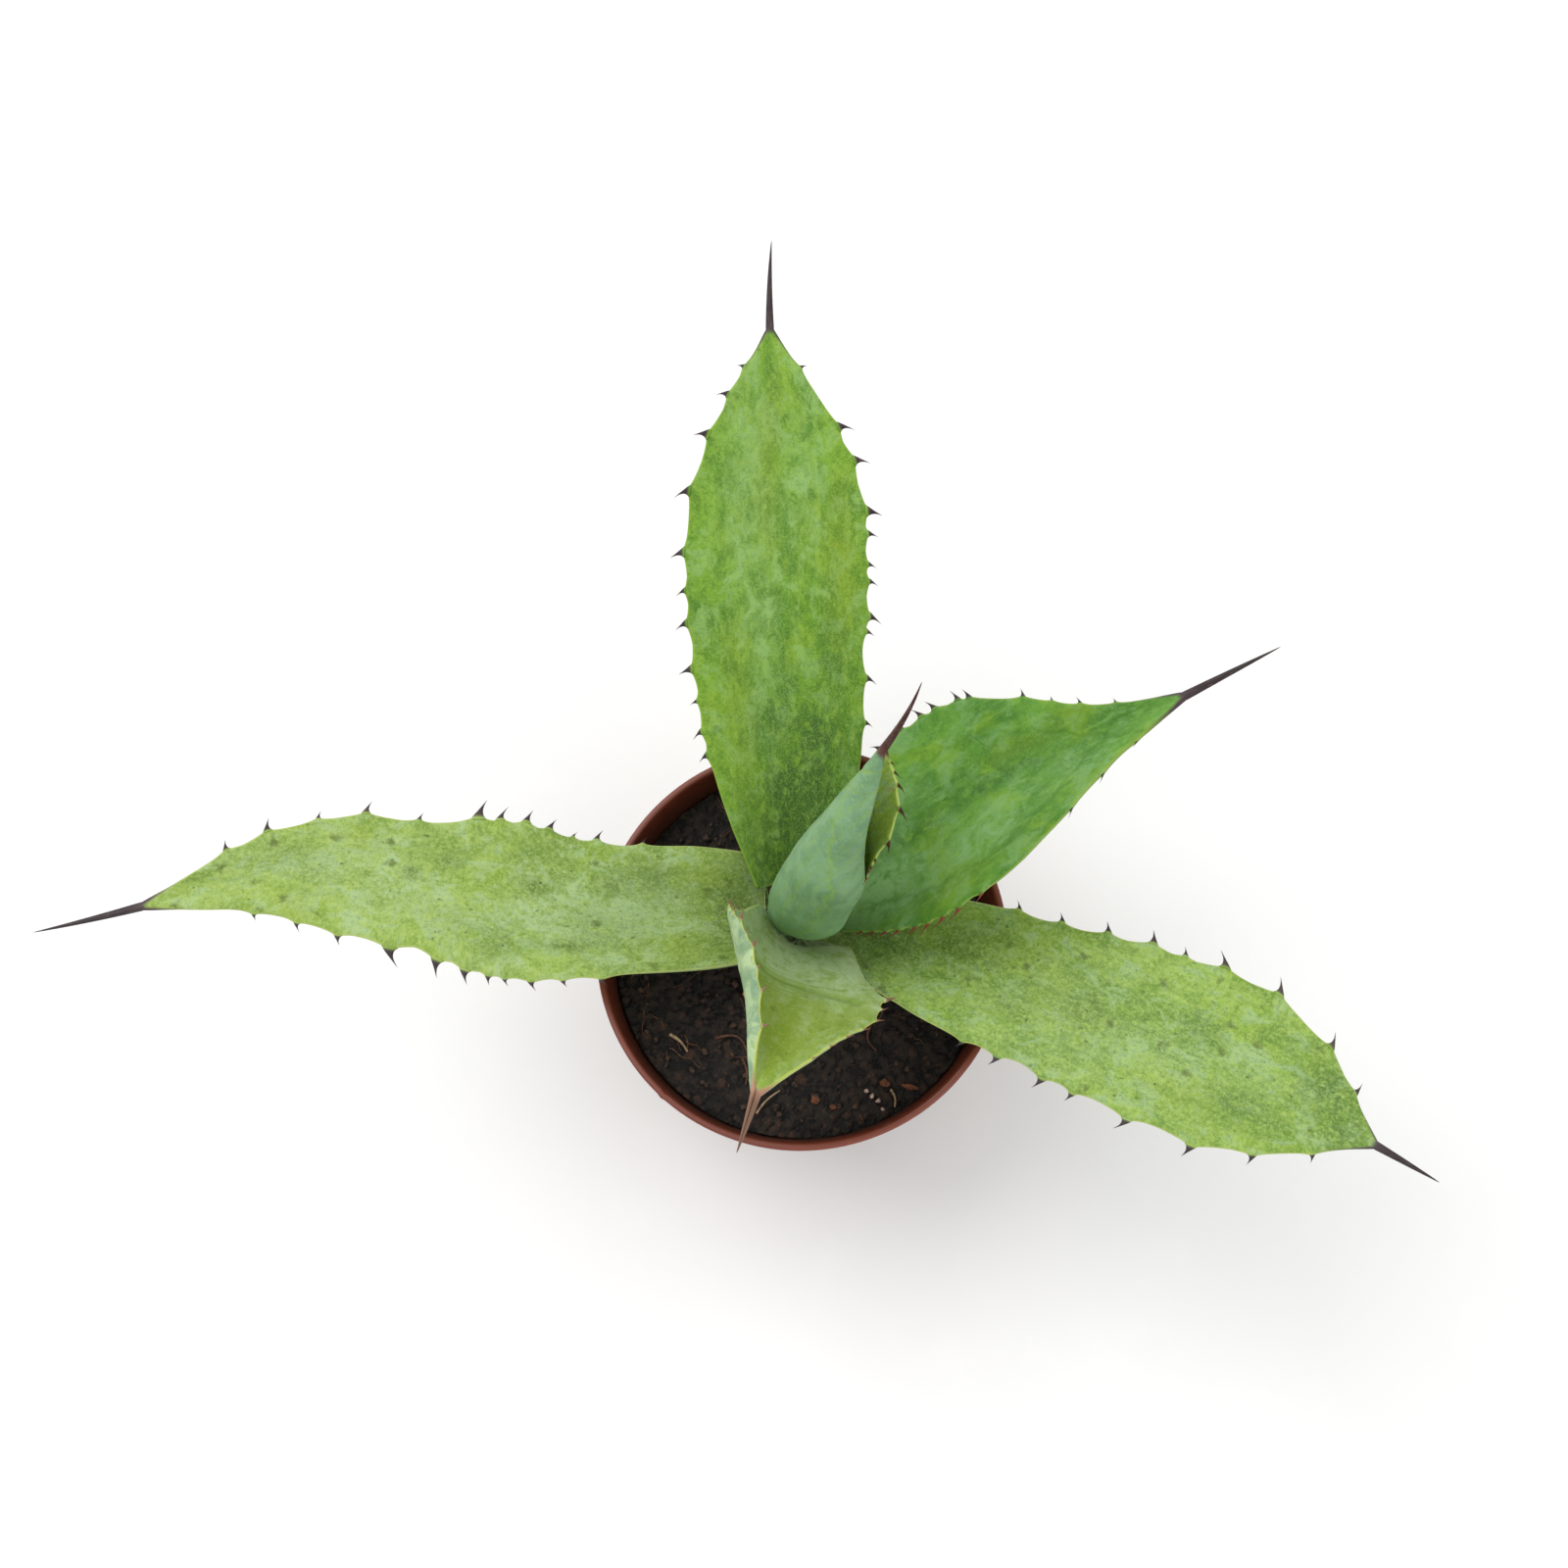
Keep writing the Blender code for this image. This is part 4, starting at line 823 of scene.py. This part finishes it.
def build_pot():
    top, base = RIM_DIAMETER / 2, BASE_DIAMETER / 2
    under_lip = top - LIP_WIDTH
    inner = under_lip - POT_WALL
    lip_low = POT_HEIGHT - LIP_HEIGHT
    profile = [
        (3 * MM, POT_FLOOR), (base - POT_WALL - 0.2 * MM, POT_FLOOR),
        (inner, lip_low), (inner + 1.3 * MM, POT_HEIGHT - 2 * MM),
        (inner + 2 * MM, POT_HEIGHT), (top, POT_HEIGHT),
        (top - 0.7 * MM, lip_low), (under_lip, lip_low),
        (base, 2.4 * MM), (base - 1.4 * MM, 0), (base - 4 * MM, 0), (base - 5 * MM, 0.6 * MM), (3 * MM, 0.6 * MM),
    ]
    cuts = np.array([0, 2, 3, 1, 0.8, 0.9, 0.5, 0.8, 2, 0.8, 0.5, 0.5, 0]) * MM
    profile = split_long(rounded(profile, cuts), 4 * MM)
    rings, turn = turned_rings(profile, 240), around(240)
    high = np.clip(rings[..., 2] / POT_HEIGHT, 0, 1)
    sway = 0.25 * MM * np.sin(2 * turn + 0.8) + 0.12 * MM * np.sin(3 * turn + 2.0)
    seam = 0.35 * MM * np.exp(-((np.angle(np.exp(1j * (turn - math.radians(228))))) / 0.012) ** 2)
    outer = rings[..., 0] ** 2 + rings[..., 1] ** 2 > (under_lip - 0.2 * MM) ** 2
    rings = rings + spokes(turn) * (sway * high)[..., None] + spokes(turn) * (seam * outer)[..., None]
    pot = mesh_object("pot_visual", *shell(rings))
    for k in range(DRAIN_HOLES):
        angle = 2 * math.pi * (k + 0.54) / DRAIN_HOLES
        place = (DRAIN_CIRCLE * math.cos(angle), DRAIN_CIRCLE * math.sin(angle))
        hole = turned_rings(np.array([(DRAIN_RADIUS, -3 * MM), (DRAIN_RADIUS, 6 * MM)]), 48, place)
        cutter = mesh_object(f"drain_cutter_{k}", *shell(hole))
        cut = pot.modifiers.new(f"drain_{k}", "BOOLEAN")
        cut.operation, cut.solver, cut.object = "DIFFERENCE", "EXACT", cutter
    bpy.context.view_layer.update()
    made = bpy.data.meshes.new_from_object(pot.evaluated_get(bpy.context.evaluated_depsgraph_get()))
    pot.modifiers.clear()
    pot.data = made
    for cutter in [made for made in bpy.data.objects if made.name.startswith("drain_cutter_")]:
        bpy.data.objects.remove(cutter, do_unlink=True)
    w = Weave("pot_brown_plastic")
    place = w.new("ShaderNodeTexCoord").outputs["Object"]
    broad = w.noise(place, 16, 3, 0.5)
    fine = w.noise(place, 420, 3, 0.6)
    streaks = w.noise(w.stretch(place, (1, 1, 0.12)), 150, 3, 0.6)
    height = w.new("ShaderNodeSeparateXYZ", Vector=place).outputs["Z"]
    colour = w.mix(w.step(broad, 0.35, 0.65), (126, 56, 36), (108, 47, 31))
    colour = w.tint(colour, (142, 72, 48), streaks, 0.5, 0.75, 0.0, 0.25)
    # Painted shade with some soil dirt: the inner wall is darkened, more so down towards the soil.
    reach = w.new("ShaderNodeVectorMath", {"operation": "LENGTH"}, Vector=w.stretch(place, (1, 1, 0)))
    widening = (inner_radius(POT_HEIGHT) - inner_radius(0)) / POT_HEIGHT
    past_wall = w.maths("SUBTRACT", reach.outputs["Value"], w.times(height, widening))
    inside = w.step(past_wall, inner_radius(0) + 0.6 * MM, inner_radius(0) + 1.2 * MM, 1.0, 0.0)
    colour = w.mix(w.times(w.step(height, 0.100, 0.113, 0.85, 0.30), inside), colour, (66, 34, 22))
    dust = w.times(w.step(w.noise(place, 240, 4, 0.7), 0.60, 0.70), 0.5)
    colour = w.mix(dust, colour, (96, 58, 44))
    settle(pot, "pot",
           w.finish(colour, w.step(broad, 0.3, 0.7, 0.34, 0.46), w.bump(fine, 0.15, 0.0003)))


def inner_radius(height):
    low, high = POT_FLOOR + 1 * MM, POT_HEIGHT - LIP_HEIGHT
    base = BASE_DIAMETER / 2 - POT_WALL
    return base + (height - low) / (high - low) * (RIM_DIAMETER / 2 - LIP_WIDTH - POT_WALL - base)


def soil_surface(x, y):
    """Soil height before its crumbs."""
    near = np.hypot(x, y - PLANT_SHIFT) / OPEN_RADIUS
    ripple = 0.5 * MM * np.sin(150 * x + 1.1) * np.cos(120 * y - 0.6)
    return SOIL_TOP + SOIL_MOUND * np.exp(-((near / 0.45) ** 2)) + ripple


def build_soil():
    size = 249
    edge = inner_radius(SOIL_TOP - 1 * MM) - 0.3 * MM
    g = np.linspace(-1, 1, size)
    a, b = np.meshgrid(g, g, indexing="ij")
    flat = np.abs(a) > np.abs(b)
    r = np.where(flat, a, b)
    ratio = np.where(flat, b, a) / np.where(r == 0, 1, r)
    turn = np.where(flat, math.pi / 4 * ratio, math.pi / 2 - math.pi / 4 * ratio)
    x, y = edge * r * np.cos(turn), edge * r * np.sin(turn)
    lift = np.full(x.shape, -2.0)
    tone = np.zeros(x.shape)
    chance = np.random.default_rng(11)
    for _ in range(8000):
        radius = 0.40 + 1.9 * chance.random() ** 4.2
        far, way = edge / MM * math.sqrt(chance.random()), chance.uniform(0, 2 * math.pi)
        squash, skew = chance.uniform(0.75, 1.0), chance.uniform(0, math.pi)
        dx, dy = x / MM - far * math.cos(way), y / MM - far * math.sin(way)
        close = (np.abs(dx) < radius * 1.4) & (np.abs(dy) < radius * 1.4)
        if not close.any():
            continue
        i, j = np.where(close)
        u = dx[i, j] * math.cos(skew) + dy[i, j] * math.sin(skew)
        v = (dy[i, j] * math.cos(skew) - dx[i, j] * math.sin(skew)) / squash
        dome = np.sqrt(np.maximum(radius**2 - u**2 - v**2, 0)) * 0.8 - radius * 0.45 + chance.normal(0, 0.12)
        higher = (u**2 + v**2 < radius**2) & (dome > lift[i, j])
        lift[i[higher], j[higher]] = dome[higher]
        tone[i[higher], j[higher]] = chance.random()
    lift = np.maximum(lift, -0.7 + 0.3 * lattice_noise(x / MM, y / MM, 3))
    lift += 0.30 * lattice_noise(x / MM * 1.3, y / MM * 1.3, 4) + 0.5 * lattice_noise(x / MM / 11, y / MM / 11, 6)
    z = soil_surface(x, y) + lift * MM
    top = np.stack([x, y, z], -1).reshape(-1, 3)
    index, faces = grid_faces(size)
    loop = np.r_[index[:-1, 0], index[-1, :-1], index[1:, -1][::-1], index[0, 1:][::-1]]
    ring = top[loop]
    bottom = POT_FLOOR + 1.3 * MM
    low = ring * np.array([1, 1, 0]) * (inner_radius(bottom) - 0.3 * MM) / edge + np.array([0, 0, bottom])
    n, m = len(top), len(loop)
    k = np.arange(m)
    after = (k + 1) % m
    faces = np.concatenate([
        faces, np.c_[loop[k], n + k, n + after], np.c_[loop[k], n + after, loop[after]],
        np.c_[np.full(m, n + m), n + after, n + k],
    ])
    points = np.r_[top, low, [[0, 0, bottom]]]
    soil = mesh_object("soil_visual", points, outward(points, faces), {
        "high": np.r_[lift.ravel(), np.full(m + 1, -1.0)], "tone": np.r_[tone.ravel(), np.zeros(m + 1)]})
    w = Weave("soil_dark_peat")
    place = w.new("ShaderNodeTexCoord").outputs["Object"]
    fine = w.noise(place, 900, 4, 0.65)
    broad = w.noise(place, 60, 3, 0.6)
    up, tone = w.value("high"), w.value("tone")
    # Painted shade: the hollows between crumbs are darkest and the crumb tops lighter.
    colour = w.mix(w.step(up, -0.8, 0.9), (13, 10, 8), (37, 28, 21))
    for shade, value, *reach in (
        ((66, 42, 27), tone, 0.70, 1.0, 0.0, 0.7), ((13, 11, 10), tone, 0.0, 0.30, 0.7, 0.0),
        ((68, 42, 27), broad, 0.58, 0.78, 0.0, 0.35), ((94, 70, 51), fine, 0.56, 0.70, 0.0, 0.45),
        ((9, 7, 6), fine, 0.32, 0.46, 0.7, 0.0),
    ):
        colour = w.tint(colour, shade, value, *reach)
    settle(soil, "soil",
           w.finish(colour, w.step(fine, 0.3, 0.7, 0.84, 0.96), w.bump(fine, 0.8, 0.0008)))


def open_spot(chance, inner=0.30, outer=0.97):
    far = OPEN_RADIUS * math.sqrt(chance.uniform(inner**2, outer**2))
    way = chance.uniform(0, 2 * math.pi)
    return far * math.cos(way), far * math.sin(way)


def build_loose():
    """Crumbs and fine dead roots that lie loose on the soil."""
    chance = np.random.default_rng(23)
    crumbs = Bundle()
    for k in range(150):
        x, y = open_spot(chance)
        size = chance.uniform(0.5, 1.5) * MM
        crumbs.add(*lump((x, y), (size * 2, size * 1.7, size * 1.4), chance.uniform(0, 360), 0.25, 100 + k, 2,
                         0.2))
    settle(crumbs.object("soil_crumbs"), None,
           mottled("soil_crumb", ((34, 24, 20), (70, 50, 38), (96, 72, 54)), 260, 0.9))
    fibres = Bundle()
    for k in range(46):
        x, y = open_spot(chance, 0.25)
        long = chance.uniform(5, 19) * MM
        head, bow, wave = chance.uniform(0, 2 * math.pi), chance.uniform(-0.3, 0.3), chance.uniform(0.5, 1.6)
        s = np.linspace(-0.5, 0.5, 26)
        off = long * (bow * (0.25 - s**2) + 0.035 * np.sin(9 * s * wave + k))
        px = x + long * s * math.cos(head) - off * math.sin(head)
        py = y + long * s * math.sin(head) + off * math.cos(head)
        reach = np.hypot(px, py)
        squeeze = np.minimum(1, (OPEN_RADIUS - 1.5 * MM) / reach)
        px, py = px * squeeze, py * squeeze
        pz = soil_surface(px, py) + (0.55 + 0.5 * np.sin(5 * s + k)) * MM
        radius = chance.uniform(0.10, 0.24) * MM * (1 - 0.5 * (s + 0.5))
        fibres.add(*tube(np.c_[px, py, pz], radius, 6, k, 0.25))
    settle(fibres.object("soil_fibres"), None,
           mottled("fine_root", ((96, 58, 38), (118, 80, 54), (74, 46, 32)), 300, 0.8))


@functools.cache
def ico(levels):
    """Points and triangles of a subdivided icosahedron of unit radius."""
    g = (1 + 5**0.5) / 2
    points = [(-1, g, 0), (1, g, 0), (-1, -g, 0), (1, -g, 0), (0, -1, g), (0, 1, g), (0, -1, -g), (0, 1, -g),
              (g, 0, -1), (g, 0, 1), (-g, 0, -1), (-g, 0, 1)]
    faces = [(0, 11, 5), (0, 5, 1), (0, 1, 7), (0, 7, 10), (0, 10, 11), (1, 5, 9), (5, 11, 4), (11, 10, 2),
             (10, 7, 6), (7, 1, 8), (3, 9, 4), (3, 4, 2), (3, 2, 6), (3, 6, 8), (3, 8, 9), (4, 9, 5), (2, 4, 11),
             (6, 2, 10), (8, 6, 7), (9, 8, 1)]
    points = [tuple(unit(np.array(p, float))) for p in points]
    for _ in range(levels):
        middle, fresh = {}, []

        def between(i, j):
            key = (min(i, j), max(i, j))
            if key not in middle:
                middle[key] = len(points)
                points.append(tuple(unit(np.array(points[i]) + np.array(points[j]))))
            return middle[key]

        for a, b, c in faces:
            ab, bc, ca = between(a, b), between(b, c), between(c, a)
            fresh += [(a, ab, ca), (b, bc, ab), (c, ca, bc), (ab, bc, ca)]
        faces = fresh
    return np.array(points), np.array(faces)


def lump(spot, size, turn, rough, seed, levels, lift, grooves=0.0):
    """A broken lump that lies on the soil: size in metres, lift in mm."""
    p, faces = ico(levels)
    flats = np.random.default_rng(seed).normal(size=(9, 3))
    cut = np.clip((unit(flats) @ p.T).max(0), 0.62, None)
    bumps = lattice_noise(p[:, 0] * 2.3 + 9 + p[:, 2], p[:, 1] * 2.3 + 9 - p[:, 2], seed)
    bumps += 0.45 * lattice_noise(p[:, 0] * 6 + 9 - p[:, 2] * 4, p[:, 1] * 6 + 30, seed + 1)
    radius = (1 - 0.35 * (cut - 0.62) / 0.38) * (1 + rough * bumps)
    radius += grooves * np.sin(p[:, 1] * 26 + 2 * p[:, 2] + 2.2 * bumps)
    q = p * radius[:, None] * np.array(size) / 2
    c, s = math.cos(math.radians(turn)), math.sin(math.radians(turn))
    x, y = q[:, 0] * c - q[:, 1] * s + spot[0], q[:, 0] * s + q[:, 1] * c + spot[1]
    z = q[:, 2] - q[:, 2].min() + float(soil_surface(spot[0], spot[1])) + lift * MM
    return np.c_[x, y, z], faces


def on_soil(angle, share):
    radius = share * OPEN_RADIUS
    return radius * math.cos(math.radians(angle)), radius * math.sin(math.radians(angle))


def strand(spot, length, heading, radius, bow, seed):
    head = math.radians(heading)
    s = np.linspace(0, 1, 60)
    run, off = (s - 0.5) * length * MM, bow * MM * np.sin(math.pi * s)
    x = spot[0] + run * math.cos(head) - off * math.sin(head)
    y = spot[1] + run * math.sin(head) + off * math.cos(head)
    z = soil_surface(x, y) + (radius + 1.25) * MM
    return tube(np.c_[x, y, z], radius * MM * (1 - 0.45 * s), 12, seed, 0.22)


def build_litter():
    bark, grain, straw, fibre = (
        mottled(name, colours, scale, rough, bump=bump) for name, colours, scale, rough, bump in (
            ("bark_orange_brown", ((120, 68, 38), (84, 48, 30), (150, 100, 64)), 340, 0.85, (0.7, 0.0005)),
            ("grain_pale", ((196, 168, 156), (170, 136, 122), (216, 196, 184)), 500, 0.65, (0.4, 0.0003)),
            ("straw_pale", ((158, 132, 102), (128, 102, 74), (184, 162, 130)), 300, 0.75, (0.4, 0.0003)),
            ("root_fibre_red_brown", ((94, 56, 36), (70, 42, 28), (122, 82, 54)), 300, 0.82, (0.5, 0.0003)),
        ))
    made = []
    for k, (angle, share, size, turn) in enumerate(BARK_CHIPS):
        size = np.array(size) * MM
        made.append(("bark_chip", k, lump(on_soil(angle, share), size, turn, 0.12, 50 + k, 4, 0.7, 0.025), bark))
    for k, (angle, share, size) in enumerate(GRAINS):
        size = np.full(3, size * MM)
        made.append(("grain", k, lump(on_soil(angle, share), size, 40 * k, 0.08, 70 + k, 4, 0.7), grain))
    for k, (angle, share, length, heading, radius) in enumerate(STRAWS):
        made.append(("straw", k, strand(on_soil(angle, share - 0.06), length, heading, radius, 0.8, k), straw))
    for k, (angle, share, length, heading, radius) in enumerate(ROOT_FIBRES):
        made.append(("root_fibre", k, strand(on_soil(angle, share), length, heading, radius, 4 - 3 * k, 9 + k),
                     fibre))
    for kind, k, (points, faces), look in made:
        node = f"{kind}_{k + 1}"
        settle(mesh_object(node + "_visual", points, faces), node, look)


def build_stem():
    foot, head = STEM_DIAMETER / 2, STEM_TOP_DIAMETER / 2
    top = SOIL_TOP + STEM_RISE
    profile = np.array([
        (0.5 * MM, top), (head * 0.55, top - 0.1 * MM), (head, top - 1.5 * MM),
        (foot * 0.93, SOIL_TOP + STEM_RISE * 0.45), (foot, SOIL_TOP - 2 * MM),
        (foot, SOIL_TOP - STEM_ROOT * 0.5), (foot * 0.55, SOIL_TOP - STEM_ROOT), (0.5 * MM, SOIL_TOP - STEM_ROOT),
    ])
    profile = split_long(rounded(profile, np.array([0, 1, 1, 4, 4, 6, 3, 0]) * MM), 0.5 * MM)
    rings, turn = turned_rings(profile, 96), around(96)
    scars = 0.35 * np.abs(np.sin(profile[:, 1][:, None] / MM * 1.1 + 0.8 * np.sin(3 * turn))) ** 3
    fuzz = 0.3 * lattice_noise(turn * 14 / 6.2832 * 4 + 0 * scars, profile[:, 1][:, None] / MM / 3 + 40, 8)
    body = np.clip(np.hypot(rings[..., 0], rings[..., 1]) / (4 * MM) - 0.6, 0, 1)
    rings = rings + spokes(turn) * ((scars + fuzz - 0.35) * body)[..., None] * MM + np.array([0, PLANT_SHIFT, 0])
    settle(mesh_object("stem_visual", *shell(rings)), "stem",
           mottled("stem_tan", ((150, 122, 78), (112, 84, 52), (178, 150, 104)), 160, 0.82,
                   stretch=(1, 1, 0.4), bump=(0.7, 0.0006)))


def build_inner_spear():
    leaf = LEAVES["spear_leaf"]
    tip = leaf["blade"] / (leaf["blade"] + leaf["spine"])
    share = np.linspace(0.06, 0.8, 80)
    bore = smooth_values(leaf["half"], share) * MM * np.minimum(*(
        smooth_values(leaf["wide"][hand], share) / np.radians(smooth_values(leaf["curl"][hand], share))
        for hand in (0, 1)
    ))
    centre, side, normal = leaf_axis(leaf, share * tip)
    centre = centre + normal * bore[:, None] + side * bore[:, None] * 0.1
    taper = np.linspace(0, 1, 80)
    radius = 0.42 * bore * (1 - 0.9 * taper**3)
    turn = around(40)
    wave = 1 + 0.05 * np.sin(turn - 5 * taper[:, None])
    wave = wave + 0.05 * (np.mod(turn + 2 * taper[:, None], 6.2832) / 6.2832)
    rings = centre[:, None] + (radius[:, None] * wave)[..., None] * (
        np.cos(turn)[None, :, None] * side[:, None] + np.sin(turn)[None, :, None] * normal[:, None])
    end = centre[-1] + (centre[-1] - centre[-2]) * 5
    points, faces = shell(rings, end=end)
    mm = np.stack([share[:, None] * leaf["blade"] + 0 * turn, turn * 4 + 0 * share[:, None],
                   0 * turn + 0 * share[:, None]], -1).reshape(-1, 3)
    mm = np.r_[mm, mm[:1], mm[-1:]]
    piece = mesh_object("inner_spear_visual", points, faces, {"leaf_mm": mm})
    settle(piece, "inner_spear",
           mottled("inner_spear_green", ((182, 202, 140), (156, 186, 118), (206, 216, 168)), 0.4, 0.45,
                   stretch=(0.2, 1, 1), bump=(0.3, 0.0004), where="leaf_mm"))


def build_dried_bases():
    look = mottled("dried_leaf_husk", ((188, 152, 98), (152, 112, 66), (210, 182, 132)), 0.5, 0.82,
                   stretch=(0.25, 1.6, 1), bump=(0.7, 0.0005), where="leaf_mm")
    for number, (angle, long, wide) in enumerate(DRIED_BASES):
        out = np.array([math.cos(math.radians(angle)), math.sin(math.radians(angle)), 0])
        side = np.array([-out[1], out[0], 0])
        up = np.array([0, 0, 1.0])
        turn = around(32)
        rings, mm = [], []
        for share in np.linspace(0, 0.97, 60):
            reach = STEM_DIAMETER / 2 + 0.7 * MM + long * MM * share
            x, y = reach * out[0], reach * out[1] + PLANT_SHIFT
            height = float(soil_surface(x, y)) + 1.5 * MM - 0.4 * MM * share
            half = wide * MM / 2 * (1 - 0.6 * share**2) * (1 + 0.08 * math.sin(19 * share + number))
            thin = 0.5 * MM * (1 - 0.4 * share)
            ridge = 0.16 * MM * np.sin(np.cos(turn) * 13 + 3 * share) * np.sign(np.sin(turn))
            ring = np.array([x, y, height]) + (half * np.cos(turn))[:, None] * side
            ring = ring + (thin * np.sin(turn) + ridge * np.abs(np.sin(turn)))[:, None] * up
            ring = ring + up * (np.cos(turn)[:, None] ** 2) * wide * MM * 0.12
            rings.append(ring)
            mm.append(np.c_[np.full(32, long * share), wide / 2 * np.cos(turn), np.full(32, number * 9.0)])
        points, faces = shell(np.array(rings), end=rings[-1].mean(0) + out * 0.8 * MM)
        mm = np.concatenate(mm)
        name = f"dried_leaf_base_{number + 1}"
        piece = mesh_object(name + "_visual", points, faces, {"leaf_mm": np.r_[mm, mm[:1], mm[-1:]]})
        settle(piece, name, look)


# ---- room -------------------------------------------------------------------------------------------

def build_room():
    n = 41
    x, y = (c.ravel() for c in np.meshgrid(*[np.linspace(-2.5, 2.5, n)] * 2, indexing="ij"))
    floor = mesh_object("floor", np.stack([x, y, 0 * x - 0.2 * MM], 1), grid_faces(n)[1])
    floor.data.materials.append(mottled("floor_pale", ((243, 243, 242), (242, 242, 242), (244, 244, 243)), 3.0, 0.8,
                                        bump=(0.02, 0.0002)))
    world = bpy.data.worlds.new("studio")
    world.use_nodes = True
    sky = world.node_tree.nodes["Background"].inputs
    sky["Color"].default_value, sky["Strength"].default_value = (1.0, 1.0, 1.0, 1.0), SKY_STRENGTH
    bpy.context.scene.world = world
    for name, place, size, power in LAMPS:
        lamp = bpy.data.lights.new(name, "AREA")
        lamp.shape, lamp.size, lamp.energy = "DISK", size, power
        made = bpy.data.objects.new(name, lamp)
        made.location = place
        x, y, z = np.array([0, 0, 0.1]) - np.array(place)
        made.rotation_euler = (math.atan2(math.hypot(x, y), -z), 0, math.atan2(y, x) - math.pi / 2)
        bpy.context.scene.collection.objects.link(made)
    camera = bpy.data.cameras.new("camera")
    camera.lens, camera.sensor_width = CAMERA_LENS, 36.0
    camera.clip_start, camera.clip_end = 0.02, 20.0
    made = bpy.data.objects.new("camera", camera)
    made.location = CAMERA_PLACE
    made.rotation_euler = (math.radians(CAMERA_TILT), 0, 0)
    bpy.context.scene.collection.objects.link(made)
    bpy.context.scene.camera = made
    bpy.context.scene.view_settings.view_transform = "Standard"


for leaf_name, leaf in LEAVES.items():
    build_leaf(leaf_name, leaf, LOOKS[leaf_name], MARKS[leaf_name])
build_pot()
build_soil()
build_loose()
build_litter()
build_stem()
build_inner_spear()
build_dried_bases()
build_room()
